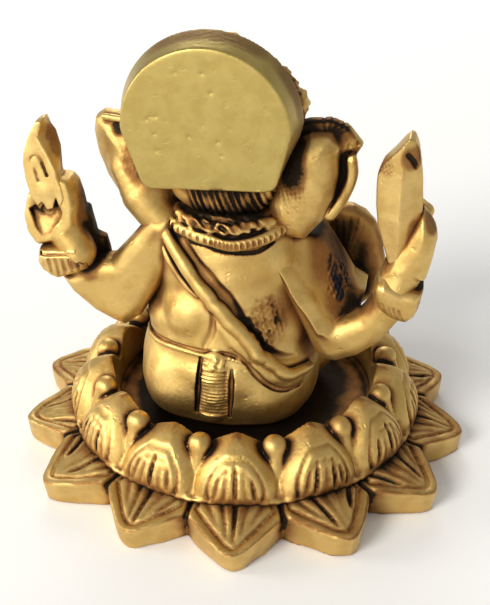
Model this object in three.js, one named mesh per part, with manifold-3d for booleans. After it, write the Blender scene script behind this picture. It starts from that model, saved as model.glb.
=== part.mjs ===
// A small cast brass figurine: Ganesha seated in the bowl of a double lotus.
//
// Millimetres, +Z up. The lotus stands on z = 0 with its axis on Z, and the figure faces -Y, so its
// own left side is +X. The figure is put together from separate castings. Each one has a spigot that
// sits in a socket of its neighbour, with the gap that the brazing metal fills, and a stud with a
// washer and a nut holds the seated body down in the lotus bowl.

import * as THREE from 'three';
import { mergeVertices } from 'three/addons/utils/BufferGeometryUtils.js';
import Module from 'manifold-3d';

const wasm = await Module();
wasm.setup();

// ---------------------------------------------------------------- driving dimensions

const jointGap = 0.3; // brazing gap between a spigot and its socket
const facets = 10; // sides of a limb
const petalCount = 13;
const petalTurn = 97; // degrees from +X to the middle of the first petal

const lotus = {
  tipRadius: 38, // lower petal tips
  notchRadius: 30.5, // notches between the lower petals
  rootRadius: 27.6, // seam between the lower and the upper petals
  tipEdge: 3.6, // thickness at a lower petal's tip
  deckHeight: 6, // top of the lower casting
  floor: 1.8, // thickness of the bowl's floor
  bellyRadius: 28.6, // widest ring of the upper petals
  rimRadius: 24.6, // upper petal tips
  valleyRadius: 23.4, // between two upper petals
  bowlRadius: 21.2, // inside of the bowl
  rimHeight: 9.2, // upper petal tips above the deck
  valleyHeight: 6.2, // valleys above the deck
  beadRadius: 1.7, // round buds between the upper petals
};

const stud = { radius: 1.5, intoBody: 8, tail: 0.6 };
const washer = { radius: 3.5, thickness: 0.5 };
const nut = { acrossFlats: 5.5, height: 2.4 };
const nutRecess = { radius: 4.6, depth: 3.8 };

const figureShift = 1.9; // the figure sits a little to its left of the lotus axis

const body = {
  seatWidth: 29.4,
  seatDepth: 25.6,
  beltHeight: 13.6,
  chestWidth: 23,
  shoulderHeight: 31.5,
  neckRadius: 4.6,
};

const head = { width: 18, depth: 18, height: 18, rise: 11.6, neckLength: 6.4 };
const trunk = { rootRadius: 3.9, tipRadius: 1.7 };
const ear = { reach: 13, height: 15.2, thickness: 2.6, drop: 0.6 };
const crown = { baseRadius: 9.4, height: 14.8, knobRadius: 1.7, spread: 1.16, rosette: 2.4, axisBack: 1 };
const disc = {
  width: 25.4,
  height: 22,
  footWidth: 19.8,
  corner: 1.8,
  thickness: 4.6,
  rise: 10.7, // its foot above the shoulders
  back: 11.8, // its flat face behind the figure's middle
  shift: 1.5,
  lean: 2.5, // degrees
};
const discPeg = { radius: 2.2, length: 2.6 };

const arm = { shoulderRadius: 5, elbowRadius: 4.5, wristRadius: 3.0, spigot: 1.3 };
const frontArm = { shoulderRadius: 3.8, elbowRadius: 3.3, wristRadius: 2.4 };
const bangle = { radius: 4.5, width: 4.6 };
const fist = { radius: 4.1 };
const bud = { width: 7.2, depth: 5, stem: 1.2 };
const leg = { thighRadius: 4.6, kneeRadius: 4.2, ankleRadius: 2.7 };
const modak = { radius: 3.1, height: 5.4 };

// ---------------------------------------------------------------- materials

const brass = (name, colour, roughness) => {
  const material = new THREE.MeshStandardMaterial({ color: colour, roughness, metalness: 1 });
  material.name = name;
  return material;
};
const materials = {
  castBrass: brass('cast_brass', 0xc49a4c, 0.38),
  groundBrass: brass('ground_brass', 0xb5a062, 0.3),
  wornBrass: brass('worn_brass', 0xd8ae5c, 0.28),
  plainSteel: brass('plain_steel', 0x8d8f92, 0.45),
};

// ---------------------------------------------------------------- small tools

const vec = (x, y, z) => new THREE.Vector3(x, y, z);
const turn = (degrees) => THREE.MathUtils.degToRad(degrees);
const mix = (a, b, t) => a + (b - a) * t;
const half = (value) => value / 2;
const between = (a, b, t) => a.clone().lerp(b, t);

// A closed solid from a three.js geometry whose faces point out.
function solidOf(geometry) {
  const bare = geometry.index ? geometry : geometry.clone();
  for (const name of ['normal', 'uv', 'uv1']) bare.deleteAttribute(name);
  const merged = mergeVertices(bare, 1e-4);
  return new wasm.Manifold(new wasm.Mesh({
    numProp: 3,
    vertProperties: new Float32Array(merged.attributes.position.array),
    triVerts: new Uint32Array(merged.index.array),
  }));
}

function geometryOf(solid) {
  const mesh = solid.getMesh();
  const geometry = new THREE.BufferGeometry();
  geometry.setAttribute('position', new THREE.BufferAttribute(mesh.vertProperties, 3));
  geometry.setIndex(new THREE.BufferAttribute(mesh.triVerts, 1));
  geometry.computeVertexNormals();
  return geometry;
}

// A skin over rings of equal length. Each end closes on a point of its own.
function skin(rings, startPoint, endPoint) {
  const count = rings[0].length;
  const points = [...rings.flat(), startPoint, endPoint];
  const start = points.length - 2;
  const end = points.length - 1;
  const faces = [];
  for (let i = 0; i < count; i += 1) {
    const j = (i + 1) % count;
    faces.push(start, j, i);
    for (let r = 0; r < rings.length - 1; r += 1) {
      const low = r * count;
      const high = low + count;
      faces.push(low + i, low + j, high + j);
      faces.push(low + i, high + j, high + i);
    }
    const last = (rings.length - 1) * count;
    faces.push(last + i, last + j, end);
  }
  const geometry = new THREE.BufferGeometry();
  const flat = points.flatMap((p) => [p.x, p.y, p.z]);
  geometry.setAttribute('position', new THREE.BufferAttribute(new Float32Array(flat), 3));
  geometry.setIndex(faces);
  return solidOf(geometry);
}

// A rounded limb along stations { at, wide, deep }. "wide" is the half size along the direction
// "across", and "deep" the half size square to it. Ends are domed unless they are flat.
function limb(stations, { across = vec(1, 0, 0), grow = 0, steps = 2, sides = facets, flat = false } = {}) {
  const path = new THREE.CatmullRomCurve3(stations.map((s) => s.at), false, 'centripetal');
  const spans = stations.length - 1;
  const rings = [];
  const centres = [];
  for (let k = 0; k <= spans * steps; k += 1) {
    const t = k / (spans * steps);
    const span = Math.min(Math.floor(t * spans), spans - 1);
    const part = t * spans - span;
    const wide = mix(stations[span].wide, stations[span + 1].wide, part) + grow;
    const deep = mix(stations[span].deep, stations[span + 1].deep, part) + grow;
    const centre = path.getPoint(t);
    const tangent = path.getTangent(t);
    centres.push({ centre, tangent, wide, deep });
  }
  if (!flat) {
    const [first, last] = [centres[0], centres[centres.length - 1]];
    const dome = (end, way) => ({
      centre: end.centre.clone().addScaledVector(end.tangent, way * 0.6 * Math.min(end.wide, end.deep)),
      tangent: end.tangent,
      wide: end.wide * 0.72,
      deep: end.deep * 0.72,
    });
    centres.unshift(dome(first, -1));
    centres.push(dome(last, 1));
  }
  for (const { centre, tangent, wide, deep } of centres) {
    const u = across.clone().addScaledVector(tangent, -across.dot(tangent)).normalize();
    const v = tangent.clone().cross(u);
    const ring = [];
    for (let i = 0; i < sides; i += 1) {
      const a = (2 * Math.PI * i) / sides;
      ring.push(centre.clone().addScaledVector(u, wide * Math.cos(a)).addScaledVector(v, deep * Math.sin(a)));
    }
    rings.push(ring);
  }
  const ends = [centres[0], centres[centres.length - 1]].map(({ centre, tangent, deep }, i) => {
    const way = i === 0 ? -1 : 1;
    return centre.clone().addScaledVector(tangent, flat ? way * grow : way * 0.3 * deep);
  });
  return skin(rings, ends[0], ends[1]);
}

const knot = (point, wide, deep = wide) => ({ at: point, wide, deep });
const station = (x, y, z, wide, deep = wide) => knot(vec(x, y, z), wide, deep);

function cylinder(radius, low, high, sides = 24) {
  const geometry = new THREE.CylinderGeometry(radius, radius, high - low, sides);
  geometry.rotateX(Math.PI / 2).translate(0, 0, (low + high) / 2);
  return solidOf(geometry);
}

function ball(centre, rx, ry, rz, across = 14, rows = 10) {
  const geometry = new THREE.SphereGeometry(1, across, rows);
  geometry.rotateX(Math.PI / 2).scale(rx, ry, rz).translate(centre.x, centre.y, centre.z);
  return solidOf(geometry);
}

const joined = (...solids) => solids.reduce((whole, next) => whole.add(next));
const cut = (solid, ...tools) => tools.reduce((whole, tool) => whole.subtract(tool), solid);

// ---------------------------------------------------------------- lotus

const pointsPerPetal = 6;

// How far a direction is from its petal's middle: 0 there, 1 in the notch on either side.
function awayFromPetal(angle) {
  const pitch = (2 * Math.PI) / petalCount;
  const turns = (angle - turn(petalTurn)) / pitch;
  return 2 * Math.abs(turns - Math.round(turns));
}

function lotusRing(radiusAt, heightAt) {
  const count = petalCount * pointsPerPetal;
  const ring = [];
  for (let i = 0; i < count; i += 1) {
    const angle = turn(petalTurn) + (2 * Math.PI * i) / count;
    const away = awayFromPetal(angle);
    const radius = radiusAt(away);
    ring.push(vec(radius * Math.cos(angle), radius * Math.sin(angle), heightAt(away)));
  }
  return ring;
}

const even = (value) => () => value;
const pointed = (tip, notch, swell = 0.75) => (away) => mix(tip, notch, away ** swell);

// Lower casting: a thick disc whose edge is a star of pointed petals.
function lowerPetals() {
  const outline = pointed(lotus.tipRadius, lotus.notchRadius, 1.15);
  const shoulder = (away) => mix(outline(away), lotus.rootRadius, 0.45);
  const rings = [
    lotusRing(outline, even(0)),
    lotusRing(outline, even(lotus.tipEdge)),
    lotusRing(shoulder, pointed(mix(lotus.tipEdge, lotus.deckHeight, 0.75), lotus.tipEdge)),
    lotusRing(even(lotus.rootRadius), even(lotus.deckHeight)),
  ];
  const star = skin(rings, vec(0, 0, 0), vec(0, 0, lotus.deckHeight));
  const studHole = cylinder(stud.radius + jointGap, -1, lotus.deckHeight + 1);
  const recess = cylinder(nutRecess.radius, -1, nutRecess.depth, 32);
  return cut(star, studHole, recess);
}

// Upper casting: the bowl, with petals that stand up round it and a round bead between each two.
function upperPetals() {
  const foot = lotus.deckHeight + jointGap;
  const bowlFloor = foot + lotus.floor;
  const top = pointed(foot + lotus.rimHeight, foot + lotus.valleyHeight, 1.3);
  const rise = (share) => (away) => mix(foot, top(away), share);
  const rings = [
    lotusRing(even(lotus.rootRadius - 1), even(foot)),
    lotusRing(pointed(lotus.bellyRadius, lotus.rootRadius - 1.4), rise(0.3)),
    lotusRing(pointed(mix(lotus.bellyRadius, lotus.rimRadius, 0.4), lotus.valleyRadius + 1.6), rise(0.7)),
    lotusRing(pointed(lotus.rimRadius, lotus.valleyRadius), top),
    lotusRing(even(lotus.bowlRadius), rise(0.86)),
    lotusRing(even(lotus.bowlRadius), even(bowlFloor)),
  ];
  let bowl = skin(rings, vec(0, 0, foot), vec(0, 0, bowlFloor));
  for (let i = 0; i < petalCount; i += 1) {
    const angle = turn(petalTurn + (360 * (i + 0.5)) / petalCount);
    const reach = (lotus.valleyRadius + lotus.bowlRadius) / 2;
    const at = vec(reach * Math.cos(angle), reach * Math.sin(angle), foot + lotus.valleyHeight);
    bowl = bowl.add(ball(at, lotus.beadRadius, lotus.beadRadius, lotus.beadRadius * 1.25, 6, 4));
  }
  return cut(bowl, cylinder(stud.radius + jointGap, foot - 1, bowlFloor + 1));
}

// ---------------------------------------------------------------- figure, measured from its seat

const shoulder = (side) => vec(side * half(body.chestWidth) * 0.78, 4.6, body.shoulderHeight);

function torsoSolid() {
  const seat = half(body.seatWidth);
  const deep = half(body.seatDepth);
  const chest = half(body.chestWidth);
  const rise = (share) => mix(body.beltHeight, body.shoulderHeight, share);
  const levels = [
    station(0, 2.2, 0, seat * 0.74, deep * 0.76),
    station(0, 2.2, body.beltHeight * 0.16, seat * 0.93, deep * 0.94),
    station(0, 2.3, body.beltHeight * 0.45, seat, deep),
    station(0, 2.3, body.beltHeight * 0.8, seat * 0.98, deep),
    station(0, 2, body.beltHeight, seat * 0.93, deep * 0.94),
    station(0, 1.4, rise(0.3), mix(seat, chest, 0.6), deep * 0.9),
    station(0, 2.2, rise(0.62), chest, deep * 0.76),
    station(0, 3.4, rise(0.9), chest * 0.92, deep * 0.58),
    station(0, 3.6, rise(1.1), chest * 0.66, deep * 0.5),
    station(0, 3.2, rise(1.24), body.neckRadius + 1, body.neckRadius + 1),
  ];
  return limb(levels, { sides: 20, steps: 2, flat: true });
}

const neckTop = mix(body.beltHeight, body.shoulderHeight, 1.24);
const headCentre = vec(0.2, -1.6, body.shoulderHeight + head.rise);

function headSolid(grow = 0) {
  const middle = headCentre;
  const front = middle.y - half(head.depth);
  const neck = limb([
    station(0, 3.0, neckTop - head.neckLength, body.neckRadius * 0.8),
    station(0, 2.4, neckTop + 1, body.neckRadius),
    station(0, 1, middle.z, body.neckRadius),
  ], { grow });
  const reach = [head.width, head.depth, head.height].map((size) => half(size) + grow);
  const skull = ball(middle, ...reach, 16, 10);
  const nose = limb([
    station(middle.x, front + 4, middle.z - 1, trunk.rootRadius),
    station(middle.x, front - 0.6, middle.z - 4.5, trunk.rootRadius * 0.94),
    station(middle.x + 0.2, front - 2.4, middle.z - 10, mix(trunk.rootRadius, trunk.tipRadius, 0.35)),
    station(middle.x + 1.6, front - 2.6, middle.z - 15.4, mix(trunk.rootRadius, trunk.tipRadius, 0.6)),
    station(middle.x + 5, front - 2.8, middle.z - 18, mix(trunk.rootRadius, trunk.tipRadius, 0.8)),
    station(middle.x + 7.6, front - 3, middle.z - 16, trunk.tipRadius),
  ], { grow, steps: 2 });
  const tusks = [-1, 1].map((side) => limb([
    station(middle.x + side * 4.4, front + 3.4, middle.z - 6, 1.3),
    station(middle.x + side * 5.2, front - (side > 0 ? 1.6 : 0), middle.z - 8.2, 0.7),
  ], { grow, sides: 8, steps: 1 }));
  return joined(neck, skull, nose, ...tusks);
}

function earSolid(side, grow = 0) {
  const tall = half(ear.height);
  const thin = half(ear.thickness);
  const root = half(head.width) - 2.2;
  const x = (reach) => headCentre.x + side * (root + reach);
  const z = headCentre.z - ear.drop;
  return limb([
    station(x(0), 0.2, z + 0.5, tall * 0.45, thin * 0.8),
    station(x(ear.reach * 0.3), 0.9, z + 0.4, tall * 0.9, thin),
    station(x(ear.reach * 0.62), 2.0, z + tall * 0.1, tall, thin * 1.1),
    station(x(ear.reach), 3.0, z + tall * 0.46, tall * 0.42, thin * 0.8),
  ], { across: vec(0, 0, 1), grow });
}

function discOutline(grow) {
  const wide = half(disc.width) + grow;
  const foot = half(disc.footWidth) + grow;
  const corner = disc.corner + grow;
  const low = -grow;
  const centre = disc.height - half(disc.width);
  const shape = new THREE.Shape();
  shape.moveTo(-foot + corner, low);
  shape.lineTo(foot - corner, low);
  shape.quadraticCurveTo(foot, low, foot + corner * 0.2, low + corner);
  shape.lineTo(wide, centre);
  shape.absarc(0, centre, wide, 0, Math.PI, false);
  shape.lineTo(-foot - corner * 0.2, low + corner);
  shape.quadraticCurveTo(-foot, low, -foot + corner, low);
  return shape;
}

// The flat plate behind the crown, with a round peg that the crown front sits on.
const discFoot = body.shoulderHeight + disc.rise;

function discSolid(grow = 0) {
  const depth = disc.thickness + 2 * grow;
  const options = { depth, bevelEnabled: false, curveSegments: 12 };
  const plate = new THREE.ExtrudeGeometry(discOutline(grow), options);
  plate.rotateX(Math.PI / 2).rotateY(turn(disc.lean)).translate(disc.shift, disc.back + grow, discFoot);
  const front = disc.back - disc.thickness;
  const peg = cylinder(discPeg.radius + grow, -grow, discPeg.length + 1 + grow, 16);
  const middle = discFoot + disc.height * 0.5;
  const laid = peg.rotate([90, 0, 0]).translate([0, front + 1, middle]);
  return solidOf(plate).add(laid);
}

function crownSolid(grow = 0) {
  const low = headCentre.z + half(head.height) * 0.56;
  const r = crown.baseRadius;
  const h = crown.height;
  const tiers = [
    [0.92, 0], [1, 0.1], [0.97, 0.24], [0.8, 0.3], [0.84, 0.42], [0.76, 0.54],
    [0.56, 0.58], [0.58, 0.7], [0.44, 0.8], [0.22, 0.84],
  ];
  const outline = tiers.map(([wide, up]) => {
    return new THREE.Vector2(r * wide + grow, h * up + (up === 0 ? -grow : grow));
  });
  outline.unshift(new THREE.Vector2(0, -grow));
  outline.push(new THREE.Vector2(0, outline[outline.length - 1].y));
  const lathe = new THREE.LatheGeometry(outline, 18);
  lathe.rotateX(Math.PI / 2).scale(crown.spread, 1, 1).translate(0, crown.axisBack, low);
  const knobSize = crown.knobRadius + grow;
  const knobAt = vec(0, crown.axisBack, low + h - crown.knobRadius);
  const knob = ball(knobAt, knobSize, knobSize, knobSize, 8, 6);
  const size = crown.rosette + grow;
  const rosettes = [-1, 1].map((side) => {
    const middle = vec(side * (r * crown.spread - crown.rosette * 0.6), crown.axisBack + 1.6, low + h * 0.34);
    return ball(middle, size, size * 0.8, size, 8, 6);
  });
  return joined(solidOf(lathe), knob, ...rosettes);
}

// Rear arms: from the shoulder down and out to the elbow, then up and out to the wrist. Each step is
// measured from the point before it, and the two sides differ a little, as on a hand-made wax.
const rearSteps = {
  left: {
    elbow: vec(7.4, 1, -12.7),
    wrist: vec(7, 2, 8.8),
    palm: vec(3.6, -1.2, 6.4),
    tip: vec(2.6, -2, 13.2),
    budSet: 0.2,
    budLength: 14.6,
  },
  right: {
    elbow: vec(-7.6, 1.2, -16.5),
    wrist: vec(-9.4, 1.8, 9.6),
    palm: vec(-3, -1.2, 7.4),
    tip: vec(2.2, -2, 19.4),
    budSet: 2.2,
    budLength: 17.4,
  },
};
const sideOf = (name) => (name === 'left' ? 1 : -1);

function rearPoints(name) {
  const steps = rearSteps[name];
  const root = shoulder(sideOf(name));
  const elbow = root.clone().add(steps.elbow);
  const wrist = elbow.clone().add(steps.wrist);
  const palm = wrist.clone().add(steps.palm);
  const tip = palm.clone().add(steps.tip);
  return { root, elbow, wrist, palm, tip, budSet: steps.budSet, budLength: steps.budLength };
}

function rearArmSolid(name, grow = 0) {
  const { root, elbow, wrist } = rearPoints(name);
  const upper = between(root, elbow, 0.45).add(vec(sideOf(name) * 1.2, 0, 0.8));
  return limb([
    knot(root, arm.shoulderRadius * 0.85),
    knot(upper, arm.shoulderRadius),
    knot(elbow, arm.elbowRadius),
    knot(between(elbow, wrist, 0.55), mix(arm.elbowRadius, arm.wristRadius, 0.5)),
    knot(wrist, arm.wristRadius),
  ], { across: vec(0, 1, 0), grow });
}

function handSolid(name, grow = 0) {
  const { wrist, palm } = rearPoints(name);
  return limb([
    knot(between(wrist, palm, -0.35), arm.spigot),
    knot(between(wrist, palm, 0.2), arm.spigot),
    knot(between(wrist, palm, 0.42), arm.wristRadius),
    knot(between(wrist, palm, 0.8), fist.radius),
    knot(between(wrist, palm, 1.2), fist.radius * 0.86),
  ], { across: vec(0, 1, 0), grow, steps: 2 });
}

function bangleSolid(name) {
  const { wrist, palm } = rearPoints(name);
  const way = palm.clone().sub(wrist).normalize();
  const along = (share) => wrist.clone().addScaledVector(way, (share + 0.06) * bangle.width);
  const ends = [-0.5, 0, 0.5].map(along);
  const ring = limb([
    knot(ends[0], bangle.radius * 0.96),
    knot(ends[1], bangle.radius),
    knot(ends[2], bangle.radius * 0.96),
  ], { across: vec(0, 1, 0), steps: 1, sides: 18, flat: true });
  const bore = limb([
    knot(ends[0].clone().addScaledVector(way, -1), arm.wristRadius + jointGap),
    knot(ends[2].clone().addScaledVector(way, 1), arm.wristRadius + jointGap),
  ], { across: vec(0, 1, 0), steps: 1, sides: 18, flat: true });
  return cut(ring, bore);
}

function budSolid(name, grow = 0) {
  const { palm, tip, budSet, budLength } = rearPoints(name);
  const foot = palm.clone().add(vec(budSet, 0, 0.4));
  const along = tip.clone().sub(foot).normalize();
  const up = (length) => foot.clone().addScaledVector(along, length);
  return limb([
    knot(up(0), bud.stem),
    knot(up(budLength * 0.14), bud.stem * 1.5),
    knot(up(budLength * 0.3), half(bud.width) * 0.82, half(bud.depth) * 0.9),
    knot(up(budLength * 0.55), half(bud.width), half(bud.depth)),
    knot(up(budLength * 0.8), half(bud.width) * 0.68, half(bud.depth) * 0.7),
    knot(up(budLength * 0.96), 0.8, 0.8),
  ], { grow, steps: 2 });
}

// Front left arm: bent across the belly, the palm up under a sweet.
const sweetAt = shoulder(1).add(vec(-0.4, -18.2, -14.1));

function frontLeftSolid(grow = 0) {
  const from = (x, y, z) => shoulder(1).add(vec(x, y, z));
  return limb([
    knot(from(-1.4, -5.6, -5.4), frontArm.shoulderRadius * 0.9),
    knot(from(5.4, -7.8, -12.1), frontArm.shoulderRadius),
    knot(from(5.8, -11.2, -16.9), frontArm.elbowRadius),
    knot(from(3, -16, -17.5), frontArm.wristRadius),
    knot(sweetAt.clone().add(vec(0.6, 0.3, -2.6)), modak.radius * 1.1, modak.radius * 0.62),
  ], { across: vec(0.3, 1, 0), grow });
}

function modakSolid(grow = 0) {
  const r = modak.radius;
  const h = modak.height;
  const outline = [[0, -1], [r * 0.7, -0.8], [r, h * 0.16], [r * 0.8, h * 0.46], [r * 0.34, h * 0.76], [0, h]]
    .map(([x, z]) => new THREE.Vector2(x === 0 ? 0 : x + grow, z + (z < 0 ? -grow : grow)));
  const lathe = new THREE.LatheGeometry(outline, 14);
  lathe.rotateX(Math.PI / 2).translate(sweetAt.x, sweetAt.y, sweetAt.z);
  return solidOf(lathe);
}

// Front right arm: bent at the elbow, the palm raised and open.
function frontRightSolid(grow = 0) {
  const from = (x, y, z) => shoulder(-1).add(vec(x, y, z));
  return limb([
    knot(from(1.4, -5.4, -5), frontArm.shoulderRadius * 0.9),
    knot(from(-5.6, -7.2, -12.1), frontArm.shoulderRadius),
    knot(from(-8, -10.2, -16.7), frontArm.elbowRadius),
    knot(from(-9.2, -14.2, -12.5), frontArm.wristRadius),
    knot(from(-9.4, -16, -8.1), 4.1, 1.9),
    knot(from(-9.2, -16.4, -3.3), 3.7, 1.4),
  ], { grow });
}

// Legs crossed in front of the seat, the right shin over the left.
function legsSolid(grow = 0) {
  const knee = half(body.seatWidth) * 0.86;
  const one = (side, lift, reach) => limb([
    station(side * knee * 0.66, -3.4, 4.8, leg.thighRadius),
    station(side * knee * 0.94, -6.6, 4.6, leg.kneeRadius),
    station(side * knee * 0.6, -11 - reach * 0.4, lift, leg.kneeRadius * 0.84),
    station(0, -12.6 - reach, lift, leg.ankleRadius),
    station(-side * knee * 0.5, -11 - reach, lift, leg.ankleRadius * 0.9),
  ], { across: vec(0, 0, 1), grow, steps: 2 });
  return joined(one(1, leg.ankleRadius + 0.9, 0), one(-1, leg.ankleRadius + 2.6, 1.6));
}

// ---------------------------------------------------------------- fastening from below

const seatHeight = lotus.deckHeight + jointGap + lotus.floor + jointGap;

const studSolid = () => cylinder(stud.radius, stud.tail, seatHeight + stud.intoBody, 16);

function washerSolid() {
  const top = nutRecess.depth - jointGap;
  const bore = cylinder(stud.radius + jointGap, 0, nutRecess.depth);
  return cut(cylinder(washer.radius, top - washer.thickness, top), bore);
}

function nutSolid() {
  const top = nutRecess.depth - washer.thickness - 2 * jointGap;
  const corner = half(nut.acrossFlats) / Math.cos(turn(30));
  const bore = cylinder(stud.radius + jointGap, top - nut.height - 1, top + 1);
  return cut(cylinder(corner, top - nut.height, top, 6), bore);
}

// ---------------------------------------------------------------- assembly

const statue = new THREE.Group();
const lotusGroup = new THREE.Group();
const figureGroup = new THREE.Group();
figureGroup.position.set(figureShift, 0, seatHeight);
statue.add(lotusGroup, figureGroup);

// Adds a piece to a group. Its own origin is at "origin", a point of the group.
function addPiece(group, name, solid, material, origin = vec(0, 0, 0)) {
  const geometry = geometryOf(solid);
  geometry.translate(-origin.x, -origin.y, -origin.z);
  const mesh = new THREE.Mesh(geometry, material);
  mesh.name = name;
  mesh.position.copy(origin);
  group.add(mesh);
}

const { castBrass, groundBrass, wornBrass, plainSteel } = materials;

addPiece(lotusGroup, 'lotus_base', lowerPetals(), wornBrass);
addPiece(lotusGroup, 'lotus_bowl', upperPetals(), castBrass);
addPiece(lotusGroup, 'mounting_stud', studSolid(), plainSteel);
addPiece(lotusGroup, 'washer', washerSolid(), plainSteel);
addPiece(lotusGroup, 'nut', nutSolid(), plainSteel);

const studSocket = cylinder(stud.radius + jointGap, -1, stud.intoBody - jointGap + 0.6)
  .translate([-figureShift, 0, 0]);
const torso = cut(
  torsoSolid(),
  studSocket,
  legsSolid(jointGap),
  headSolid(jointGap),
  frontLeftSolid(jointGap),
  frontRightSolid(jointGap),
  rearArmSolid('left', jointGap),
  rearArmSolid('right', jointGap),
);
addPiece(figureGroup, 'seated_body', torso, castBrass);
addPiece(figureGroup, 'crossed_legs', cut(legsSolid(), studSocket), castBrass);
const headPiece = cut(headSolid(), earSolid(1, jointGap), earSolid(-1, jointGap), discSolid(jointGap));
addPiece(figureGroup, 'head', headPiece, castBrass, headCentre);
addPiece(figureGroup, 'ear_left', earSolid(1), castBrass, headCentre);
addPiece(figureGroup, 'ear_right', earSolid(-1), castBrass, headCentre);
addPiece(figureGroup, 'crown_disc', discSolid(), groundBrass, vec(0, disc.back, discFoot));
const crownFront = cut(
  crownSolid(),
  headSolid(jointGap),
  discSolid(jointGap),
  earSolid(1, jointGap),
  earSolid(-1, jointGap),
);
addPiece(figureGroup, 'crown_front', crownFront, castBrass, headCentre);

for (const name of ['left', 'right']) {
  const { wrist, palm } = rearPoints(name);
  const forearm = rearArmSolid(name, jointGap);
  const hand = handSolid(name, jointGap);
  addPiece(figureGroup, `rear_arm_${name}`, cut(rearArmSolid(name), hand), castBrass, shoulder(sideOf(name)));
  addPiece(figureGroup, `bangle_${name}`, cut(bangleSolid(name), forearm, hand), wornBrass, wrist);
  addPiece(figureGroup, `rear_hand_${name}`, cut(handSolid(name), budSolid(name, jointGap)), castBrass, palm);
  addPiece(figureGroup, `lotus_bud_${name}`, budSolid(name), wornBrass, palm);
}

const frontLeft = cut(
  frontLeftSolid(),
  rearArmSolid('left', jointGap),
  modakSolid(jointGap),
  legsSolid(jointGap),
  headSolid(jointGap),
);
addPiece(figureGroup, 'front_arm_left', frontLeft, castBrass, shoulder(1));
addPiece(figureGroup, 'modak_sweet', cut(modakSolid(), headSolid(jointGap)), castBrass, sweetAt);
const frontRight = cut(frontRightSolid(), rearArmSolid('right', jointGap), legsSolid(jointGap));
addPiece(figureGroup, 'front_arm_right', frontRight, castBrass, shoulder(-1));

export default statue;
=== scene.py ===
"""The looks of a small cast brass figurine: an elephant-headed deity seated in a double lotus.

Every casting is sculpted in millimetres on a lattice of signed distances, like clay: limbs and
lumps are added with soft joins, lines are engraved, and the result is meshed at about the size of
a grain of the casting's surface. Places come from the frame's boxes. The figure faces -Y.
"""

import math

import bpy
import numpy as np
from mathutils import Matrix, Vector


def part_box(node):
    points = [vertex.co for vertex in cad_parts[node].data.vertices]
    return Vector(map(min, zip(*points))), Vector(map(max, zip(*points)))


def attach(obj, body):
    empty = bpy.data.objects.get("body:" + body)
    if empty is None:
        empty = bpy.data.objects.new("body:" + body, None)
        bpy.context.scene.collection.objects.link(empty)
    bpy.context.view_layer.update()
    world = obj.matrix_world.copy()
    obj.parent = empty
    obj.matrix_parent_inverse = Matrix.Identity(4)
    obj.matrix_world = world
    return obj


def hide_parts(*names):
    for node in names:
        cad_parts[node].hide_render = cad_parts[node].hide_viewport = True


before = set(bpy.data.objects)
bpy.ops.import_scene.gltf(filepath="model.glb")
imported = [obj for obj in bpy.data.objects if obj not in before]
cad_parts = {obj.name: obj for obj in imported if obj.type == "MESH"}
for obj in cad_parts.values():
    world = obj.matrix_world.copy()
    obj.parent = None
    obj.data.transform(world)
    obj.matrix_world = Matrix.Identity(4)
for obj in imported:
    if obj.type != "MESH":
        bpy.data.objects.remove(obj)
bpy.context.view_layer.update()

import openvdb
from mathutils import Vector

MM = 0.001

# ---------------------------------------------------------------- places taken from the frame


def corners(node):
    low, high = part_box(node)
    return np.array(low) / MM, np.array(high) / MM


def centre(node):
    low, high = corners(node)
    return (low + high) / 2


SEAT_LOW, SEAT_HIGH = corners("seated_body")
ORIGIN = np.array([(SEAT_LOW[0] + SEAT_HIGH[0]) / 2, 0.0, SEAT_LOW[2]])
TIP_RADIUS = max(corners("lotus_base")[1][1], -corners("lotus_base")[0][0])
DECK = corners("lotus_base")[1][2]
RIM_TOP = corners("lotus_bowl")[1][2]

PETALS = 13
PITCH = 2 * math.pi / PETALS
PETAL_TURN = math.radians(97)  # the same first petal as the frame's
DECK_RADIUS = 26.5  # inside this the lower casting is a plain deck


def fig(x, y, z):
    """A point of the figure, measured from the middle of its seat."""
    return ORIGIN + np.array([x, y, z], float)


def figs(*places):
    return ORIGIN + np.array(places, float)


def at_y(y, *places):
    """Points of the figure on an upright plane, each given by its x and its height."""
    return figs(*((x, y, z) for x, z in places))


# ---------------------------------------------------------------- clay

FACES_KEPT = 0.3
LATTICE = 0.6
FAR = 5.0
world_low = np.array([-45.0, -45.0, -6.0])
world_count = (np.array([90.0, 90.0, 90.0]) / LATTICE).astype(int) + 1
everything = np.full(world_count, FAR, np.float32)


def soft_min(a, b, soft):
    h = np.clip(0.5 + 0.5 * (b - a) / soft, 0, 1)
    return b + (a - b) * h - soft * h * (1 - h)


def soft_max(a, b, soft):
    return -soft_min(-a, -b, soft)


def quarter_round(share):
    """Rises from 0 to 1 like the shoulder of a circle."""
    return np.sqrt(np.clip(1 - (1 - np.clip(share, 0, 1)) ** 2, 0, 1))


def smooth_path(points, steps=5):
    """Catmull-Rom points through the given ones."""
    p = np.array(points, float)
    p = np.vstack([2 * p[0] - p[1], p, 2 * p[-1] - p[-2]])
    out = []
    for i in range(1, len(p) - 2):
        for k in range(steps):
            t = k / steps
            out.append(0.5 * (2 * p[i] + (p[i + 1] - p[i - 1]) * t
                              + (2 * p[i - 1] - 5 * p[i] + 4 * p[i + 1] - p[i + 2]) * t * t
                              + (3 * p[i] - p[i - 1] - 3 * p[i + 1] + p[i + 2]) * t ** 3))
    out.append(p[-2])
    return np.array(out)


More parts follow.
